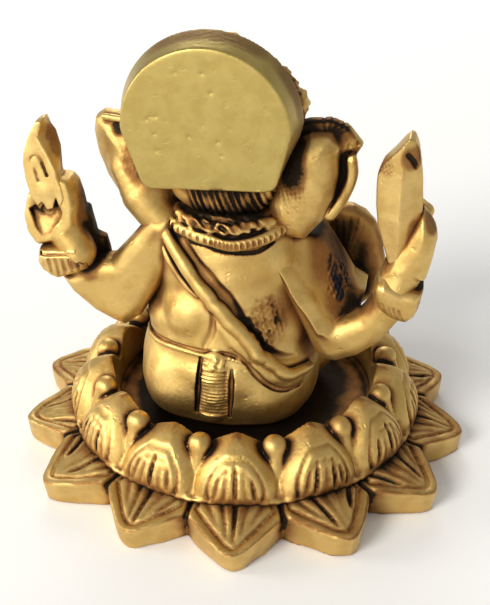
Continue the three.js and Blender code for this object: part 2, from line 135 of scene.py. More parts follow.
def turned(x, y, z, middle, about):
    """Coordinates in a frame at "middle", turned by Euler angles in degrees."""
    a, b, c = np.radians(about)
    rx = np.array([[1, 0, 0], [0, math.cos(a), -math.sin(a)], [0, math.sin(a), math.cos(a)]])
    ry = np.array([[math.cos(b), 0, math.sin(b)], [0, 1, 0], [-math.sin(b), 0, math.cos(b)]])
    rz = np.array([[math.cos(c), -math.sin(c), 0], [math.sin(c), math.cos(c), 0], [0, 0, 1]])
    m = (rz @ ry @ rx).T
    px, py, pz = x - middle[0], y - middle[1], z - middle[2]
    return [m[i, 0] * px + m[i, 1] * py + m[i, 2] * pz for i in range(3)]


def egg_distance(x, y, z, radii):
    k0 = np.sqrt((x / radii[0]) ** 2 + (y / radii[1]) ** 2 + (z / radii[2]) ** 2)
    k1 = np.sqrt((x / radii[0] ** 2) ** 2 + (y / radii[1] ** 2) ** 2 + (z / radii[2] ** 2) ** 2)
    return k0 * (k0 - 1) / np.maximum(k1, 1e-6)


def read_between(lattice, cells):
    """Values between the points of a lattice, by the share of each of the eight corners."""
    cells = np.clip(cells, 0, np.array(lattice.shape) - 1.001)
    whole = cells.astype(int)
    past = cells - whole
    total = 0
    for corner in range(8):
        step = np.array([corner & 1, corner >> 1 & 1, corner >> 2 & 1])
        total = total + np.prod(np.where(step, past, 1 - past), axis=1) * lattice[tuple((whole + step).T)]
    return total


class Clay:
    """Signed distances in millimetres, negative inside, on a lattice that all pieces share."""

    def __init__(self, low, high, fine):
        fine = fine
        self.fine = fine
        self.step = LATTICE / fine
        self.cell = np.floor((np.array(low) - 3 - world_low) / LATTICE).astype(int)
        self.first = world_low + self.cell * LATTICE
        cells = np.ceil((np.array(high) + 3 - self.first) / LATTICE).astype(int)
        self.d = np.full(cells * fine + 1, FAR, np.float32)
        self.axes = [(self.first[i] + self.step * np.arange(n)).astype(np.float32)
                     for i, n in enumerate(self.d.shape)]
        self.stain_and_shade_list = []
        self.engraved_grime_and_shade = None

    def mark_stain_and_shade(self, middle, reach, strength=0.6, kind="grime_and_shade"):
        """Marks a place painted darker: patina that handling and cleaning never reach, painted shade on sides
        turned from the light, and scorch.
        """
        self.stain_and_shade_list.append((kind, middle, reach, strength))

    def stain_and_shade_at(self, points, kind):
        total = np.zeros(len(points))
        if kind == "grime_and_shade" and self.engraved_grime_and_shade:
            total = self.engraved_grime_and_shade(*points.T)
        for what, middle, reach, strength in self.stain_and_shade_list:
            if what == kind:
                share = np.clip(1.5 * (1 - (((points - middle) / reach) ** 2).sum(axis=1)), 0, 1)
                total = np.maximum(total, strength * share)
        return total

    def block(self, low, high):
        cut, xyz = [], []
        for i in range(3):
            n = self.d.shape[i]
            a = int(np.clip(math.floor((low[i] - self.first[i]) / self.step), 0, n - 2))
            b = int(np.clip(math.ceil((high[i] - self.first[i]) / self.step) + 1, a + 2, n))
            shape = [1, 1, 1]
            shape[i] = b - a
            cut.append(slice(a, b))
            xyz.append(self.axes[i][a:b].reshape(shape))
        return tuple(cut), xyz

    def everywhere(self):
        return [axis.reshape([-1 if i == j else 1 for j in range(3)]) for i, axis in enumerate(self.axes)]

    def join(self, field, soft):
        self.d = soft_min(self.d, field.astype(np.float32), soft)

    def add(self, measure, low, high, soft=0.5, margin=3.0):
        cut, xyz = self.block(np.array(low) - margin, np.array(high) + margin)
        self.d[cut] = soft_min(self.d[cut], measure(*xyz).astype(np.float32), soft)

    def carve(self, measure, low, high, soft=0.3, margin=1.0):
        cut, xyz = self.block(np.array(low) - margin, np.array(high) + margin)
        self.d[cut] = soft_max(self.d[cut], -measure(*xyz).astype(np.float32), soft)

    def egg(self, middle, radii, about=(0, 0, 0), soft=0.8, carve=False):
        middle = np.array(middle, float)
        reach = max(radii)

        def measure(x, y, z):
            return egg_distance(*turned(x, y, z, middle, about), radii)
        if carve:
            self.carve(measure, middle - reach, middle + reach, soft)
        else:
            self.add(measure, middle - reach, middle + reach, soft)

    def tube_field(self, points, radii, margin, flat=None):
        """Distances to a tube whose radius runs along it. flat = (direction, share of thickness)."""
        points = np.array(points, float)
        stops = np.linspace(0, 1, len(points))
        radii = np.interp(stops, np.linspace(0, 1, np.size(radii)), np.atleast_1d(radii))
        reach = radii.max() + margin
        cut, _ = self.block(points.min(0) - reach, points.max(0) + reach)
        field = np.full([s.stop - s.start for s in cut], FAR, np.float32)
        for a, b, ra, rb in zip(points[:-1], points[1:], radii[:-1], radii[1:]):
            sub, (x, y, z) = self.block(np.minimum(a, b) - max(ra, rb) - margin,
                                        np.maximum(a, b) + max(ra, rb) + margin)
            ab = b - a
            length = max(float(ab @ ab), 1e-9)
            t = np.clip(((x - a[0]) * ab[0] + (y - a[1]) * ab[1] + (z - a[2]) * ab[2]) / length, 0, 1)
            wx, wy, wz = x - a[0] - t * ab[0], y - a[1] - t * ab[1], z - a[2] - t * ab[2]
            if flat is not None:
                n, share = flat
                n = np.array(n, float) / np.linalg.norm(n)
                along = (wx * n[0] + wy * n[1] + wz * n[2]) * (1 / share - 1)
                wx, wy, wz = wx + n[0] * along, wy + n[1] * along, wz + n[2] * along
            near = np.sqrt(wx * wx + wy * wy + wz * wz) - (ra + (rb - ra) * t)
            inner = tuple(slice(s.start - c.start, s.stop - c.start) for s, c in zip(sub, cut))
            field[inner] = np.minimum(field[inner], near)
        return cut, field

    def tube(self, points, radii, soft=0.8, margin=3.0, flat=None, smooth=4):
        path = smooth_path(points, smooth) if len(points) > 2 and smooth else points
        cut, field = self.tube_field(path, radii, margin, flat)
        self.d[cut] = soft_min(self.d[cut], field, soft)

    def groove(self, points, radii, soft=0.15, margin=0.6, flat=None, smooth=4):
        path = smooth_path(points, smooth) if len(points) > 2 and smooth else points
        cut, field = self.tube_field(path, radii, margin, flat)
        self.d[cut] = soft_max(self.d[cut], -field, soft)

    def at(self, points):
        return read_between(self.d, (points - self.first) / self.step)

    def slope(self, points):
        e = self.step
        g = np.stack([self.at(points + v) - self.at(points - v) for v in np.eye(3) * e], axis=1)
        return g / np.maximum(np.linalg.norm(g, axis=1, keepdims=True), 1e-6)

    def stick(self, points, lift=0.0):
        """Moves points onto the surface, or "lift" above it."""
        p = np.array(points, float)
        for _ in range(8):
            p = p - self.slope(p) * (self.at(p) - lift)[:, None]
        return p

    def drape(self, points, way=(0, -1, 0), lift=0.0):
        """Moves points along "way" until they meet the surface."""
        p = np.array(points, float)
        way = np.array(way, float) / np.linalg.norm(way)
        for _ in range(60):
            p = p + way * np.maximum(self.at(p), 0)[:, None] * 0.7
        return self.stick(p, lift)

    def ridge(self, points, radius, lift=0.0, soft=0.35, way=(0, -1, 0), flat=None, steps=6, margin=1.2):
        path = self.drape(smooth_path(points, steps), way, lift)
        self.tube(path, radius, soft, margin=margin, flat=flat, smooth=0)
        return path

    def furrow(self, points, radius, lift=0.0, soft=0.2, way=(0, -1, 0), flat=None, steps=6):
        path = self.drape(smooth_path(points, steps), way, lift)
        self.groove(path, radius, soft, flat=flat, smooth=0)

    def score(self, points, radius=0.3, depth=0.4, soft=0.15, way=(0, -1, 0)):
        self.furrow(points, radius, radius - depth, soft, way)

    def grit(self, amount, size, seed, middle=None, reach=None):
        """Uneven by "amount", in grains of about "size": all over, or fading out at "reach" from a point."""
        if middle is None:
            cut, (x, y, z), fade = ..., self.everywhere(), 1.0
        else:
            cut, (x, y, z) = self.block(middle - np.array(reach), middle + np.array(reach))
            off = ((x - middle[0]) / reach[0]) ** 2 + ((y - middle[1]) / reach[1]) ** 2
            fade = np.clip(1.6 * (1 - off - ((z - middle[2]) / reach[2]) ** 2), 0, 1)
        draw = np.random.default_rng(seed)
        total = 0
        for _ in range(6):
            n = draw.normal(size=3)
            n *= 2 * math.pi / size / np.linalg.norm(n)
            wave = np.sin(x * n[0] + y * n[1] + z * n[2] + draw.uniform(0, 6.28))
            total = total + wave
        self.d[cut] += (amount / 2.4 * total * fade).astype(np.float32)

    def beads(self, path, size, gap, soft=0.15, squash=1.0):
        """A row of round grains along a path that already lies on the surface."""
        steps = np.linalg.norm(np.diff(path, axis=0), axis=1)
        along = np.concatenate([[0], np.cumsum(steps)])
        for s in np.arange(0, along[-1] + 0.01, gap):
            point = [np.interp(s, along, path[:, i]) for i in range(3)]
            self.egg(point, (size, size, size * squash), soft=soft)


def room_for(node, fine, below=0, above=0):
    """Empty room to sculpt a node in: its box, and more below and above."""
    low, high = corners(node)
    return Clay(low - below, high + above, fine)


def outline_distance(points, u, w):
    """Signed distance to a closed outline in a plane, negative inside."""
    near = np.float32(1e9)
    inside = False
    for (ax, aw), (bx, bw) in zip(points, list(points[1:]) + [points[0]]):
        ex, ew = bx - ax, bw - aw
        t = np.clip(((u - ax) * ex + (w - aw) * ew) / (ex * ex + ew * ew), 0, 1)
        near = np.minimum(near, np.hypot(u - ax - t * ex, w - aw - t * ew))
        if ew:
            inside = inside ^ (((aw > w) != (bw > w)) & (u < ax + (w - aw) * ex / ew))
    return np.where(inside, -near, near)


def main_part(points, quads):
    """Drops specks: keeps the largest connected skin."""
    label = np.arange(len(points))
    while True:
        low = label[quads].min(axis=1)
        new = label.copy()
        np.minimum.at(new, quads.ravel(), np.repeat(low, 4))
        new = new[new]
        if (new == label).all():
            break
        label = new
    names, counts = np.unique(label, return_counts=True)
    keep = label == names[counts.argmax()]
    index = np.cumsum(keep) - 1
    return points[keep], index[quads[keep[quads].all(axis=1)]]


pieces = []


def thin_out(piece, share):
    """Keeps this share of the faces, most of them where the surface bends."""
    modifier = piece.modifiers.new("thin", "DECIMATE")
    modifier.ratio = share
    seen = piece.evaluated_get(bpy.context.evaluated_depsgraph_get())
    mesh = bpy.data.meshes.new_from_object(seen)
    full = piece.data
    piece.modifiers.clear()
    piece.data = mesh
    bpy.data.meshes.remove(full)
    mesh.name = piece.name
    points = np.empty(3 * len(mesh.vertices), np.float32)
    mesh.vertices.foreach_get("co", points)
    return mesh, points.reshape(-1, 3).astype(float) / MM


def cast(node, clay, material, kind="casting"):
    """Meshes a piece of clay, and gives it its finish and the frame node that it stands for."""
    name = f"{node}_{kind}"
    grid = openvdb.FloatGrid(FAR)
    grid.copyFromArray(np.ascontiguousarray(clay.d))
    points, quads = grid.convertToQuads(0.0)
    points = np.asarray(points, float)
    quads = np.asarray(quads).astype(np.int64)
    points, quads = main_part(points, quads)
    points = clay.first + points * clay.step
    a, b, c = points[quads[:, 0]], points[quads[:, 1]], points[quads[:, 2]]
    volume = np.einsum("ij,ij->i", a, np.cross(b, c)).sum()
    if volume < 0:
        quads = quads[:, ::-1]
    mesh = bpy.data.meshes.new(name)
    mesh.from_pydata((points * MM).tolist(), [], quads.tolist())
    mesh.polygons.foreach_set("use_smooth", np.ones(len(quads), bool))
    mesh.update()
    piece = bpy.data.objects.new(name, mesh)
    bpy.context.scene.collection.objects.link(piece)
    mesh, points = thin_out(piece, FACES_KEPT)
    mesh.polygons.foreach_set("use_smooth", np.ones(len(mesh.polygons), bool))
    cells = tuple(slice(c, c + (n - 1) // clay.fine + 1) for c, n in zip(clay.cell, clay.d.shape))
    part = clay.d[::clay.fine, ::clay.fine, ::clay.fine]
    target = everything[cells]
    np.minimum(target, part[:target.shape[0], :target.shape[1], :target.shape[2]], out=target)
    normals = clay.slope(points)
    pieces.append((piece, clay, points, normals))
    mesh.materials.append(material)
    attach(piece, "root")
    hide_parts(node)
    return piece


def mark_wear_and_shade():
    """Stores on every point how deep in a recess it lies, how proud an edge it is on, its patina with painted
    shade, and its scorch.
    """
    for piece, clay, points, normals in pieces:
        fine = 0
        for reach, weight in ((0.45, 0.5), (0.9, 0.5)):
            fine = fine + weight * np.clip(1 - clay.at(points + normals * reach) / reach, 0, 1)
        wide = 0
        for reach, weight in ((1.5, 0.3), (2.6, 0.35), (4.2, 0.35)):
            near = read_between(everything, (points + normals * reach - world_low) / LATTICE)
            wide = wide + weight * np.clip(1 - near / reach, 0, 1)
        side = np.cross(normals, [0.3, 0.5, 0.81])
        side /= np.maximum(np.linalg.norm(side, axis=1, keepdims=True), 1e-6)
        other = np.cross(normals, side)
        proud = 0
        for way in (side, -side, other, -other):
            proud = proud + clay.at(points + way * 0.5) / 0.5 / 4
        marks = {"fine_recess": fine, "wide_recess": wide, "proud": np.clip(proud, -1, 1)}
        # grime_and_shade holds patina with painted shade; scorch holds the braze residue.
        marks.update({kind: clay.stain_and_shade_at(points, kind) for kind in ("grime_and_shade", "scorch")})
        for key, values in marks.items():
            layer = piece.data.attributes.new(key, "FLOAT", "POINT")
            layer.data.foreach_set("value", np.asarray(values, np.float32))


# ---------------------------------------------------------------- materials


class Nodes:
    """Short words for building a node tree."""

    def __init__(self, tree):
        self.tree = tree

    def new(self, kind, **values):
        """A node of a kind, with its options set and its inputs set or linked."""
        node = self.tree.nodes.new("ShaderNode" + kind)
        for key, value in values.items():
            if hasattr(node, key):
                setattr(node, key, value)
            else:
                self.feed(node.inputs[key.replace("_", " ")], value)
        return node

    def feed(self, socket, value):
        if isinstance(value, bpy.types.NodeSocket):
            self.tree.links.new(value, socket)
        elif isinstance(value, tuple) and socket.type == "RGBA":
            socket.default_value = (*value, 1)
        else:
            socket.default_value = value

    def noise(self, scale, detail=4.0, rough=0.6):
        node = self.new("TexNoise", Scale=scale, Detail=detail, Roughness=rough, Vector=self.place)
        return node.outputs["Fac"]

    def bump(self, height, strength, distance, **more):
        node = self.new("Bump", Strength=strength, Distance=distance, Height=height, **more)
        return node.outputs[0]

    def math(self, kind, a, b, clamp=False):
        node = self.new("Math", operation=kind, use_clamp=clamp)
        self.feed(node.inputs[0], a)
        self.feed(node.inputs[1], b)
        return node.outputs[0]

    def sum(self, *terms):
        """Adds sockets, each a socket or a pair of a socket and its weight."""
        parts = [self.math("MULTIPLY", *term) if isinstance(term, tuple) else term for term in terms]
        total = parts[0]
        for part in parts[1:]:
            total = self.math("ADD", total, part)
        return total

    def about_zero(self, value, spread):
        """A texture of mean 0.5, moved to mean 0 and scaled."""
        return self.math("MULTIPLY", self.math("SUBTRACT", value, 0.5), spread)

    def ramp(self, value, low, high):
        node = self.new("MapRange", interpolation_type="SMOOTHSTEP", Value=value, From_Min=low, From_Max=high)
        return node.outputs["Result"]

    def mix(self, share, a, b):
        node = self.new("Mix", data_type="RGBA")
        for index, value in ((0, share), (6, a), (7, b)):
            self.feed(node.inputs[index], value)
        return node.outputs[2]

    def attribute(self, name):
        return self.new("Attribute", attribute_name=name).outputs["Fac"]


def metal(name, slot):
    """A new metallic material: its nodes and its shader."""
    material = bpy.data.materials.new(name)
    material.use_nodes = True
    material["slot"] = slot
    tree = material.node_tree
    tree.nodes.clear()
    n = Nodes(tree)
    n.place = n.new("TexCoord").outputs["Object"]
    shader = n.new("BsdfPrincipled", Metallic=1.0)
    n.new("OutputMaterial", Surface=shader.outputs[0])
    return material, n, shader


# The brown and the black are patina colours that also serve as painted shade where shade is marked.
PATINA_AND_SHADE_BLACK = (0.035, 0.024, 0.015)
SCORCHED = (0.27, 0.115, 0.042)
SOOT = (0.03, 0.03, 0.036)
PATINA_AND_SHADE_BROWN = (0.34, 0.165, 0.052)


def brass(slot, bright, dull, patina_and_shade_brown, polish, patina_and_shade_strength=1.0, pits=1.0, brushed=0.0):
    """Cast brass: bright where it is handled, brown to black in its recesses and where shade is painted,
    finely pitted.
    """
    material, n, shader = metal(slot + "_finish", slot)
    mottle = n.noise(260, 5, 0.62)
    blotch = n.noise(70, 3, 0.55)
    grain = n.noise(1500, 4, 0.7)
    uneven = n.about_zero(mottle, 0.72)
    # The recess sum adds the patina of hollows to grime_and_shade, which also holds painted shade.
    recess = n.sum((n.attribute("fine_recess"), 1.3), n.attribute("wide_recess"),
                   (n.attribute("grime_and_shade"), 1.55))
    patina_and_shade_depth = n.sum(recess, uneven, n.about_zero(blotch, 0.5))
    # Brown, then black: patina in the recesses, and painted shade where it is marked.
    brown_patina_and_shade_share = n.math("MULTIPLY", n.ramp(patina_and_shade_depth, 0.3, 0.86), patina_and_shade_strength)
    black_patina_and_shade_share = n.math("MULTIPLY", n.ramp(patina_and_shade_depth, 0.8, 1.35), patina_and_shade_strength)
    worn = n.ramp(n.attribute("proud"), 0.04, 0.34)
    colour = n.mix(n.ramp(mottle, 0.35, 0.65), dull, bright)
    colour = n.mix(n.math("MULTIPLY", worn, 0.6), colour, tuple(min(1.0, c * 1.18) for c in bright))
    colour = n.mix(brown_patina_and_shade_share, colour, patina_and_shade_brown)
    colour = n.mix(black_patina_and_shade_share, colour, PATINA_AND_SHADE_BLACK)
    scorch = n.sum(n.attribute("scorch"), (uneven, 0.9))
    colour = n.mix(n.ramp(scorch, 0.18, 0.52), colour, SCORCHED)
    colour = n.mix(n.ramp(scorch, 0.42, 0.72), colour, SOOT)
    n.feed(shader.inputs["Base Color"], colour)

    roughness = n.sum((brown_patina_and_shade_share, 0.2), polish, n.about_zero(grain, 0.16))
    roughness = n.math("SUBTRACT", roughness, n.math("MULTIPLY", worn, 0.08), clamp=True)
    n.feed(shader.inputs["Roughness"], roughness)

    pit = n.ramp(n.noise(700, 2, 0.5), 0.26, 0.36)
    height = n.sum((grain, 0.35), (mottle, 0.6), (pit, 0.5), (n.math("MULTIPLY", patina_and_shade_depth, grain), 0.9))
    normal = n.bump(height, 0.55 * pits, 0.00016)
    if brushed:
        stretch = n.new("Mapping", Vector=n.place)
        stretch.inputs["Scale"].default_value = (260, 260, 5200)
        stretch.inputs["Rotation"].default_value = (0, math.radians(8), 0)
        lines = n.new("TexNoise", Scale=1.0, Detail=3.0, Vector=stretch.outputs[0])
        normal = n.bump(lines.outputs["Fac"], brushed, 0.00003, Normal=normal)
    n.feed(shader.inputs["Normal"], normal)
    return material


CAST = brass("cast_brass", (0.69, 0.48, 0.17), (0.56, 0.365, 0.11), PATINA_AND_SHADE_BROWN, polish=0.49)
WORN = brass("worn_brass", (0.7, 0.49, 0.185), (0.58, 0.385, 0.125), PATINA_AND_SHADE_BROWN, polish=0.47, pits=0.8)
GROUND = brass("ground_brass", (0.51, 0.385, 0.125), (0.45, 0.33, 0.1), (0.22, 0.12, 0.05), polish=0.42,
               patina_and_shade_strength=0.8, pits=0.6, brushed=0.35)


def steel():
    """Plain turned steel for the fastening underneath, with fine turning marks and a little rust."""
    material, n, shader = metal("plain_steel_finish", "plain_steel")
    rust = n.ramp(n.noise(900, 4, 0.7), 0.58, 0.72)
    clean = n.mix(n.noise(300), (0.42, 0.42, 0.43), (0.3, 0.3, 0.31))
    n.feed(shader.inputs["Base Color"], n.mix(rust, clean, (0.17, 0.08, 0.04)))
    n.feed(shader.inputs["Roughness"], n.sum((rust, 0.35), 0.32))
    wave = n.new("TexWave", wave_type="RINGS", rings_direction="Z", Scale=900, Vector=n.place)
    n.feed(shader.inputs["Normal"], n.bump(wave.outputs["Fac"], 0.3, 0.00005))
    return material


STEEL = steel()
for node in ("mounting_stud", "washer", "nut"):
    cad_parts[node].data.materials.clear()
    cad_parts[node].data.materials.append(STEEL)

# ---------------------------------------------------------------- lotus

draw = np.random.default_rng(13)
TIP_MORE = draw.uniform(-0.7, 0.5, PETALS)
LEAN = draw.uniform(-0.07, 0.07, PETALS)
RISE = draw.uniform(-0.3, 0.3, PETALS)


def petal_frame(x, y, shift=0.0):
    """Which petal a point belongs to, its distance from the axis, and how far off the petal's middle."""
    angle = np.arctan2(y, x) - PETAL_TURN - shift * PITCH
    which = np.round(angle / PITCH)
    off = angle - which * PITCH
    return which.astype(int) % PETALS, np.hypot(x, y), off


def bell(value, width):
    return np.exp(-(value / width) ** 2)


def stroke(a, b, start, end, width):
    """How deep a tapered cut from "start" to "end" is at the place (a, b): 1 on its middle line."""
    ea, eb = end[0] - start[0], end[1] - start[1]
    t = ((a - start[0]) * ea + (b - start[1]) * eb) / (ea * ea + eb * eb)
    along = np.clip(t, 0, 1)
    gap = np.hypot(a - start[0] - along * ea, b - start[1] - along * eb)
    taper = np.sqrt(np.clip(4 * t * (1 - t), 0, 1))
    return bell(gap, width * (0.45 + 0.55 * taper)) * taper


BASE_STROKES = (((27.8, -4.6), (33.0, -2.4)), ((27.2, -2.2), (35.2, -0.9)), ((26.9, 0.1), (36.0, 0.1)),
                ((27.2, 2.3), (34.6, 1.1)), ((27.8, 4.6), (32.6, 2.6)))
BOWL_STROKES = (((-3.2, 0.7), (-2.3, 4.8)), ((-1.6, 0.4), (-1.0, 6.0)), ((0.2, 0.4), (0.3, 6.6)),
                ((1.9, 0.4), (1.5, 5.6)), ((3.4, 0.8), (2.7, 4.4)))


def base_petal(x, y):
    """The lower petals in plan: outline, rise along the petal, depth inside the edge, seam and cuts."""
    which, radius, off = petal_frame(x, y)
    u = radius * np.cos(off)
    tip = TIP_RADIUS + TIP_MORE[which]
    v = radius * np.sin(off) - LEAN[which] * np.clip(u - 29, 0, 20)
    t = np.clip((u - 27) / (tip - 27), 0, 1)
    wide = 9.3 * (1 - t) ** 0.74
    outline = soft_max((np.abs(v) - wide) * 0.76, u - tip + 0.25, 1.5)
    border = np.maximum(u * math.tan(PITCH / 2) - np.abs(v), 0)
    inside = np.minimum(-outline, border * 0.96 + 0.25)
    cuts = 0
    for start, end in BASE_STROKES:
        deep = 0.62 + 0.38 * np.cos(2.1 * which + 1.7 * end[1])
        cuts = np.maximum(cuts, deep * stroke(u - 1.5 * RISE[which], v - 4 * LEAN[which], start, end, 0.36))
    cuts = cuts * np.clip((inside - 1.5) / 0.7, 0, 1) * (u > DECK_RADIUS)
    seam = bell(border, 0.45) * (u < 33) * (u > DECK_RADIUS)
    return u, outline, RISE[which] * t - 2.0 * t ** 1.2, inside, seam, cuts


def lotus_base():
    clay = room_for("lotus_base", 2)
    x, y, z = clay.everywhere()
    u, outline, slope, inside, seam, cuts = base_petal(x, y)
    rim = 0.1 * bell(inside - 0.5, 0.45) - 0.42 * bell(inside - 1.5, 0.26)
    panel = 0.5 * np.clip((inside - 1.5) / 2.6, 0, 1)
    height = DECK - 0.1 + slope + rim + panel - 0.75 * cuts - 1.0 * seam
    height = np.where(u < DECK_RADIUS, DECK - 0.2, height)
    top = (z - height) * 0.86
    flank = outline.astype(np.float32) + 0.16 * np.clip(3.4 - z, -1, 3)
    block = soft_max(flank, top.astype(np.float32), 0.45)
    clay.d = soft_max(block, (0.02 - z).astype(np.float32), 0.4).astype(np.float32)
    clay.grit(0.07, 4.2, 1)
    recess = corners("washer")

    def counterbore(x, y, z):
        return np.maximum(np.hypot(x, y) - recess[1][0] - 1.1, z - recess[1][2] - 0.3)
    clay.carve(counterbore, (-6, -6, -1), (6, 6, 5), 0.2)

    def engraved_grime_and_shade(x, y, z):
        u, _, _, inside, seam, cuts = base_petal(x, y)
        on_top = (z > 2.4) & (u > DECK_RADIUS)
        # Grime in the cuts and an even patina, and painted shade: the right side (x < -12) is painted darker.
        return on_top * (0.26 * cuts + 0.06 * bell(inside - 1.3, 0.35) + 0.3 * seam) + 0.1 + 0.08 * (x < -12)
    clay.engraved_grime_and_shade = engraved_grime_and_shade
    cast("lotus_base", clay, WORN)


def bowl_petal(x, y, up):
    """The upper petals: across, depth inside the edge, roundness, veins and the arch engraved round them."""
    which, radius, off = petal_frame(x, y)
    v = radius * np.sin(off)
    tall = RIM_TOP - corners("lotus_bowl")[0][2] - 0.1 + RISE[which]
    t = np.clip((up - 1.6) / (tall - 1.6), 0, 1)
    wide = 6.35 * (1 - t ** 2.0) ** 0.78 - 0.1 * np.clip(1.6 - up, 0, 2)
    lean_v = v - 1.2 * LEAN[which] * up
    inside = np.minimum((wide - np.abs(lean_v)) * 0.86, (tall - up) * 0.8)
    leaf = quarter_round(inside / 2.0)
    cuts = 0
    for start, end in BOWL_STROKES:
        deep = 0.68 + 0.32 * np.cos(2.6 * which + 1.9 * end[0])
        cuts = np.maximum(cuts, deep * stroke(lean_v - 0.8 * RISE[which], up - 0.6 * RISE[which], start,
                                              end, 0.33))
    cuts = cuts * np.clip((inside - 1.5) / 0.6, 0, 1)
    arch = bell(inside - 1.7, 0.27) + 0.4 * bell(inside - 2.9, 0.2) * np.clip((up - 3) / 1.5, 0, 1)
    return radius, v, inside, leaf, cuts, arch


def lotus_bowl():
    low, high = corners("lotus_bowl")
    clay = Clay(low, high, 2)
    foot = low[2]
    x, y, z = clay.everywhere()
    up = z - foot
    radius, v, inside, leaf, cuts, arch = bowl_petal(x, y, up)
    valley = np.interp(up, (0, 1.7, 3.7, 5.8, 7), (28.5, 27.5, 25.9, 24.1, 23.2))
    crest = np.interp(up, (0, 1.4, 3.0, 4.8, 6.4, 8, 9.6), (29.2, 29.4, 29.2, 28.5, 27.4, 25.9, 24.1))
    outer = valley + (crest - valley) * leaf * (1.06 - 0.012 * v ** 2) - 0.5 * arch - 0.7 * cuts
    bore = 21.2 + 0.9 * np.clip((up - 4) / 5, 0, 1)
    bore = bore + 0.35 * np.clip(inside, 0, 3) * np.clip((up - 3) / 5, 0, 1)
    wall = soft_max((radius - outer) * 0.85, bore - radius, 0.5)
    wall = soft_max(wall, np.minimum(-inside, up - 5.9), 0.4)
    wall = soft_max(wall, -up, 0.3)
    floor = soft_max(radius - 26.0, np.maximum(up - 1.75, -up), 0.3)
    clay.d = soft_min(wall, floor, 0.8).astype(np.float32)
    # Between each two petals stands a round bead whose stem narrows downwards, like a teardrop.
    _, radius, off = petal_frame(x, y, 0.5)
    v = radius * np.sin(off)
    head = np.sqrt((radius - 23.9) ** 2 + v ** 2 + (up - 7.0) ** 2) - 1.85
    out, down = 26.9 - 24.0, 1.0 - 6.8
    share = np.clip(((radius - 24.0) * out + (up - 6.8) * down) / (out * out + down * down), 0, 1)
    stem = np.sqrt((radius - 24.0 - share * out) ** 2 + v ** 2 + (up - 6.8 - share * down) ** 2)
    clay.join(stem - 1.6 + 1.15 * share, 0.2)
    clay.join(head, 0.35)
    # The seam on the lower casting is a lumpy cord.
    angle = np.arctan2(y, x)
    lump = 0.07 * np.sin(angle * 96 + 2.2 * np.sin(angle * 5))
    cord = np.hypot(radius - 28.7, up + 0.1) - 0.42 - lump
    clay.join(cord, 0.25)
    # Painted shade: the inside of the bowl is painted dark brown to black.
    clay.mark_stain_and_shade([0, 0, foot], (23.4, 23.4, 8.5), 1.1)

    def engraved_grime_and_shade(x, y, z):
        radius, _, _, leaf, cuts, arch = bowl_petal(x, y, z - foot)
        # Grime in the cuts and an even patina, and painted shade: the right side (x < -12) is painted darker.
        return (radius > 24.5) * (0.36 * cuts + 0.2 * arch + 0.05 * (1 - leaf)) + 0.1 + 0.08 * (x < -12)
    clay.engraved_grime_and_shade = engraved_grime_and_shade
    clay.grit(0.04, 3.8, 2)
    cast("lotus_bowl", clay, CAST)


lotus_base()
lotus_bowl()

# ---------------------------------------------------------------- figure: body

# Height, middle y, half width and half depth.
BODY_LEVELS = np.array([(-2, 2.2, 9.4, 8.0), (0, 2.2, 10.9, 9.7), (2.2, 2.2, 13.7, 12.0),
                        (6.1, 2.3, 14.7, 12.8), (10.9, 2.3, 14.3, 12.8), (13.6, 2.0, 13.5, 12.0),
                        (19, 1.6, 12.6, 11.3), (24.7, 2.2, 11.3, 9.6), (29.7, 3.0, 10.4, 7.8),
                        (33.3, 3.2, 9.4, 6.7), (35.8, 3.0, 7.8, 6.0), (38, 3.0, 6.6, 5.2), ])


def seated_body():
    clay = room_for("seated_body", 3, 1, [1, 2, 2])
    x, y, z = clay.everywhere()
    h = z - ORIGIN[2]
    table = smooth_path(BODY_LEVELS, 6)
    mid, rx, ry = (np.interp(h, table[:, 0], table[:, i]).astype(np.float32) for i in (1, 2, 3))
    px, py = x - ORIGIN[0], y - mid
    k0 = np.sqrt((px / rx) ** 2 + (py / ry) ** 2)
    k1 = np.sqrt((px / rx ** 2) ** 2 + (py / ry ** 2) ** 2)
    shape = k0 * (k0 - 1) / np.maximum(k1, 1e-6)
    clay.d = soft_max(shape, np.maximum(-h, h - 36.4), 0.8).astype(np.float32)
    for side in (-1, 1):
        clay.egg(fig(side * 6.3, 4.8, 27.5), (4.6, 4.2, 6.0), (0, side * 12, 0), soft=2.2)
        clay.egg(fig(side * 9.0, 2.4, 17.2), (4.4, 6.8, 3.4), (0, side * -8, 0), soft=1.6)
        clay.egg(fig(side * 6.9, 6.4, 6.4), (6.6, 8.2, 6.6), soft=1.6)
        clay.egg(fig(side * 5.2, -7.4, 26.5), (4.6, 3.2, 3.8), soft=2.0)
    clay.egg(fig(0, -4.9, 16.5), (10.5, 7.6, 8.2), soft=2.4)
    clay.egg(fig(0, -12.2, 14.6), (0.9, 0.7, 1.0), soft=0.5, carve=True)
    belt(clay)
    pleats(clay)
    thread(clay)
    necklaces(clay)
    clay.grit(0.05, 3.4, 3)
    cast("seated_body", clay, CAST)


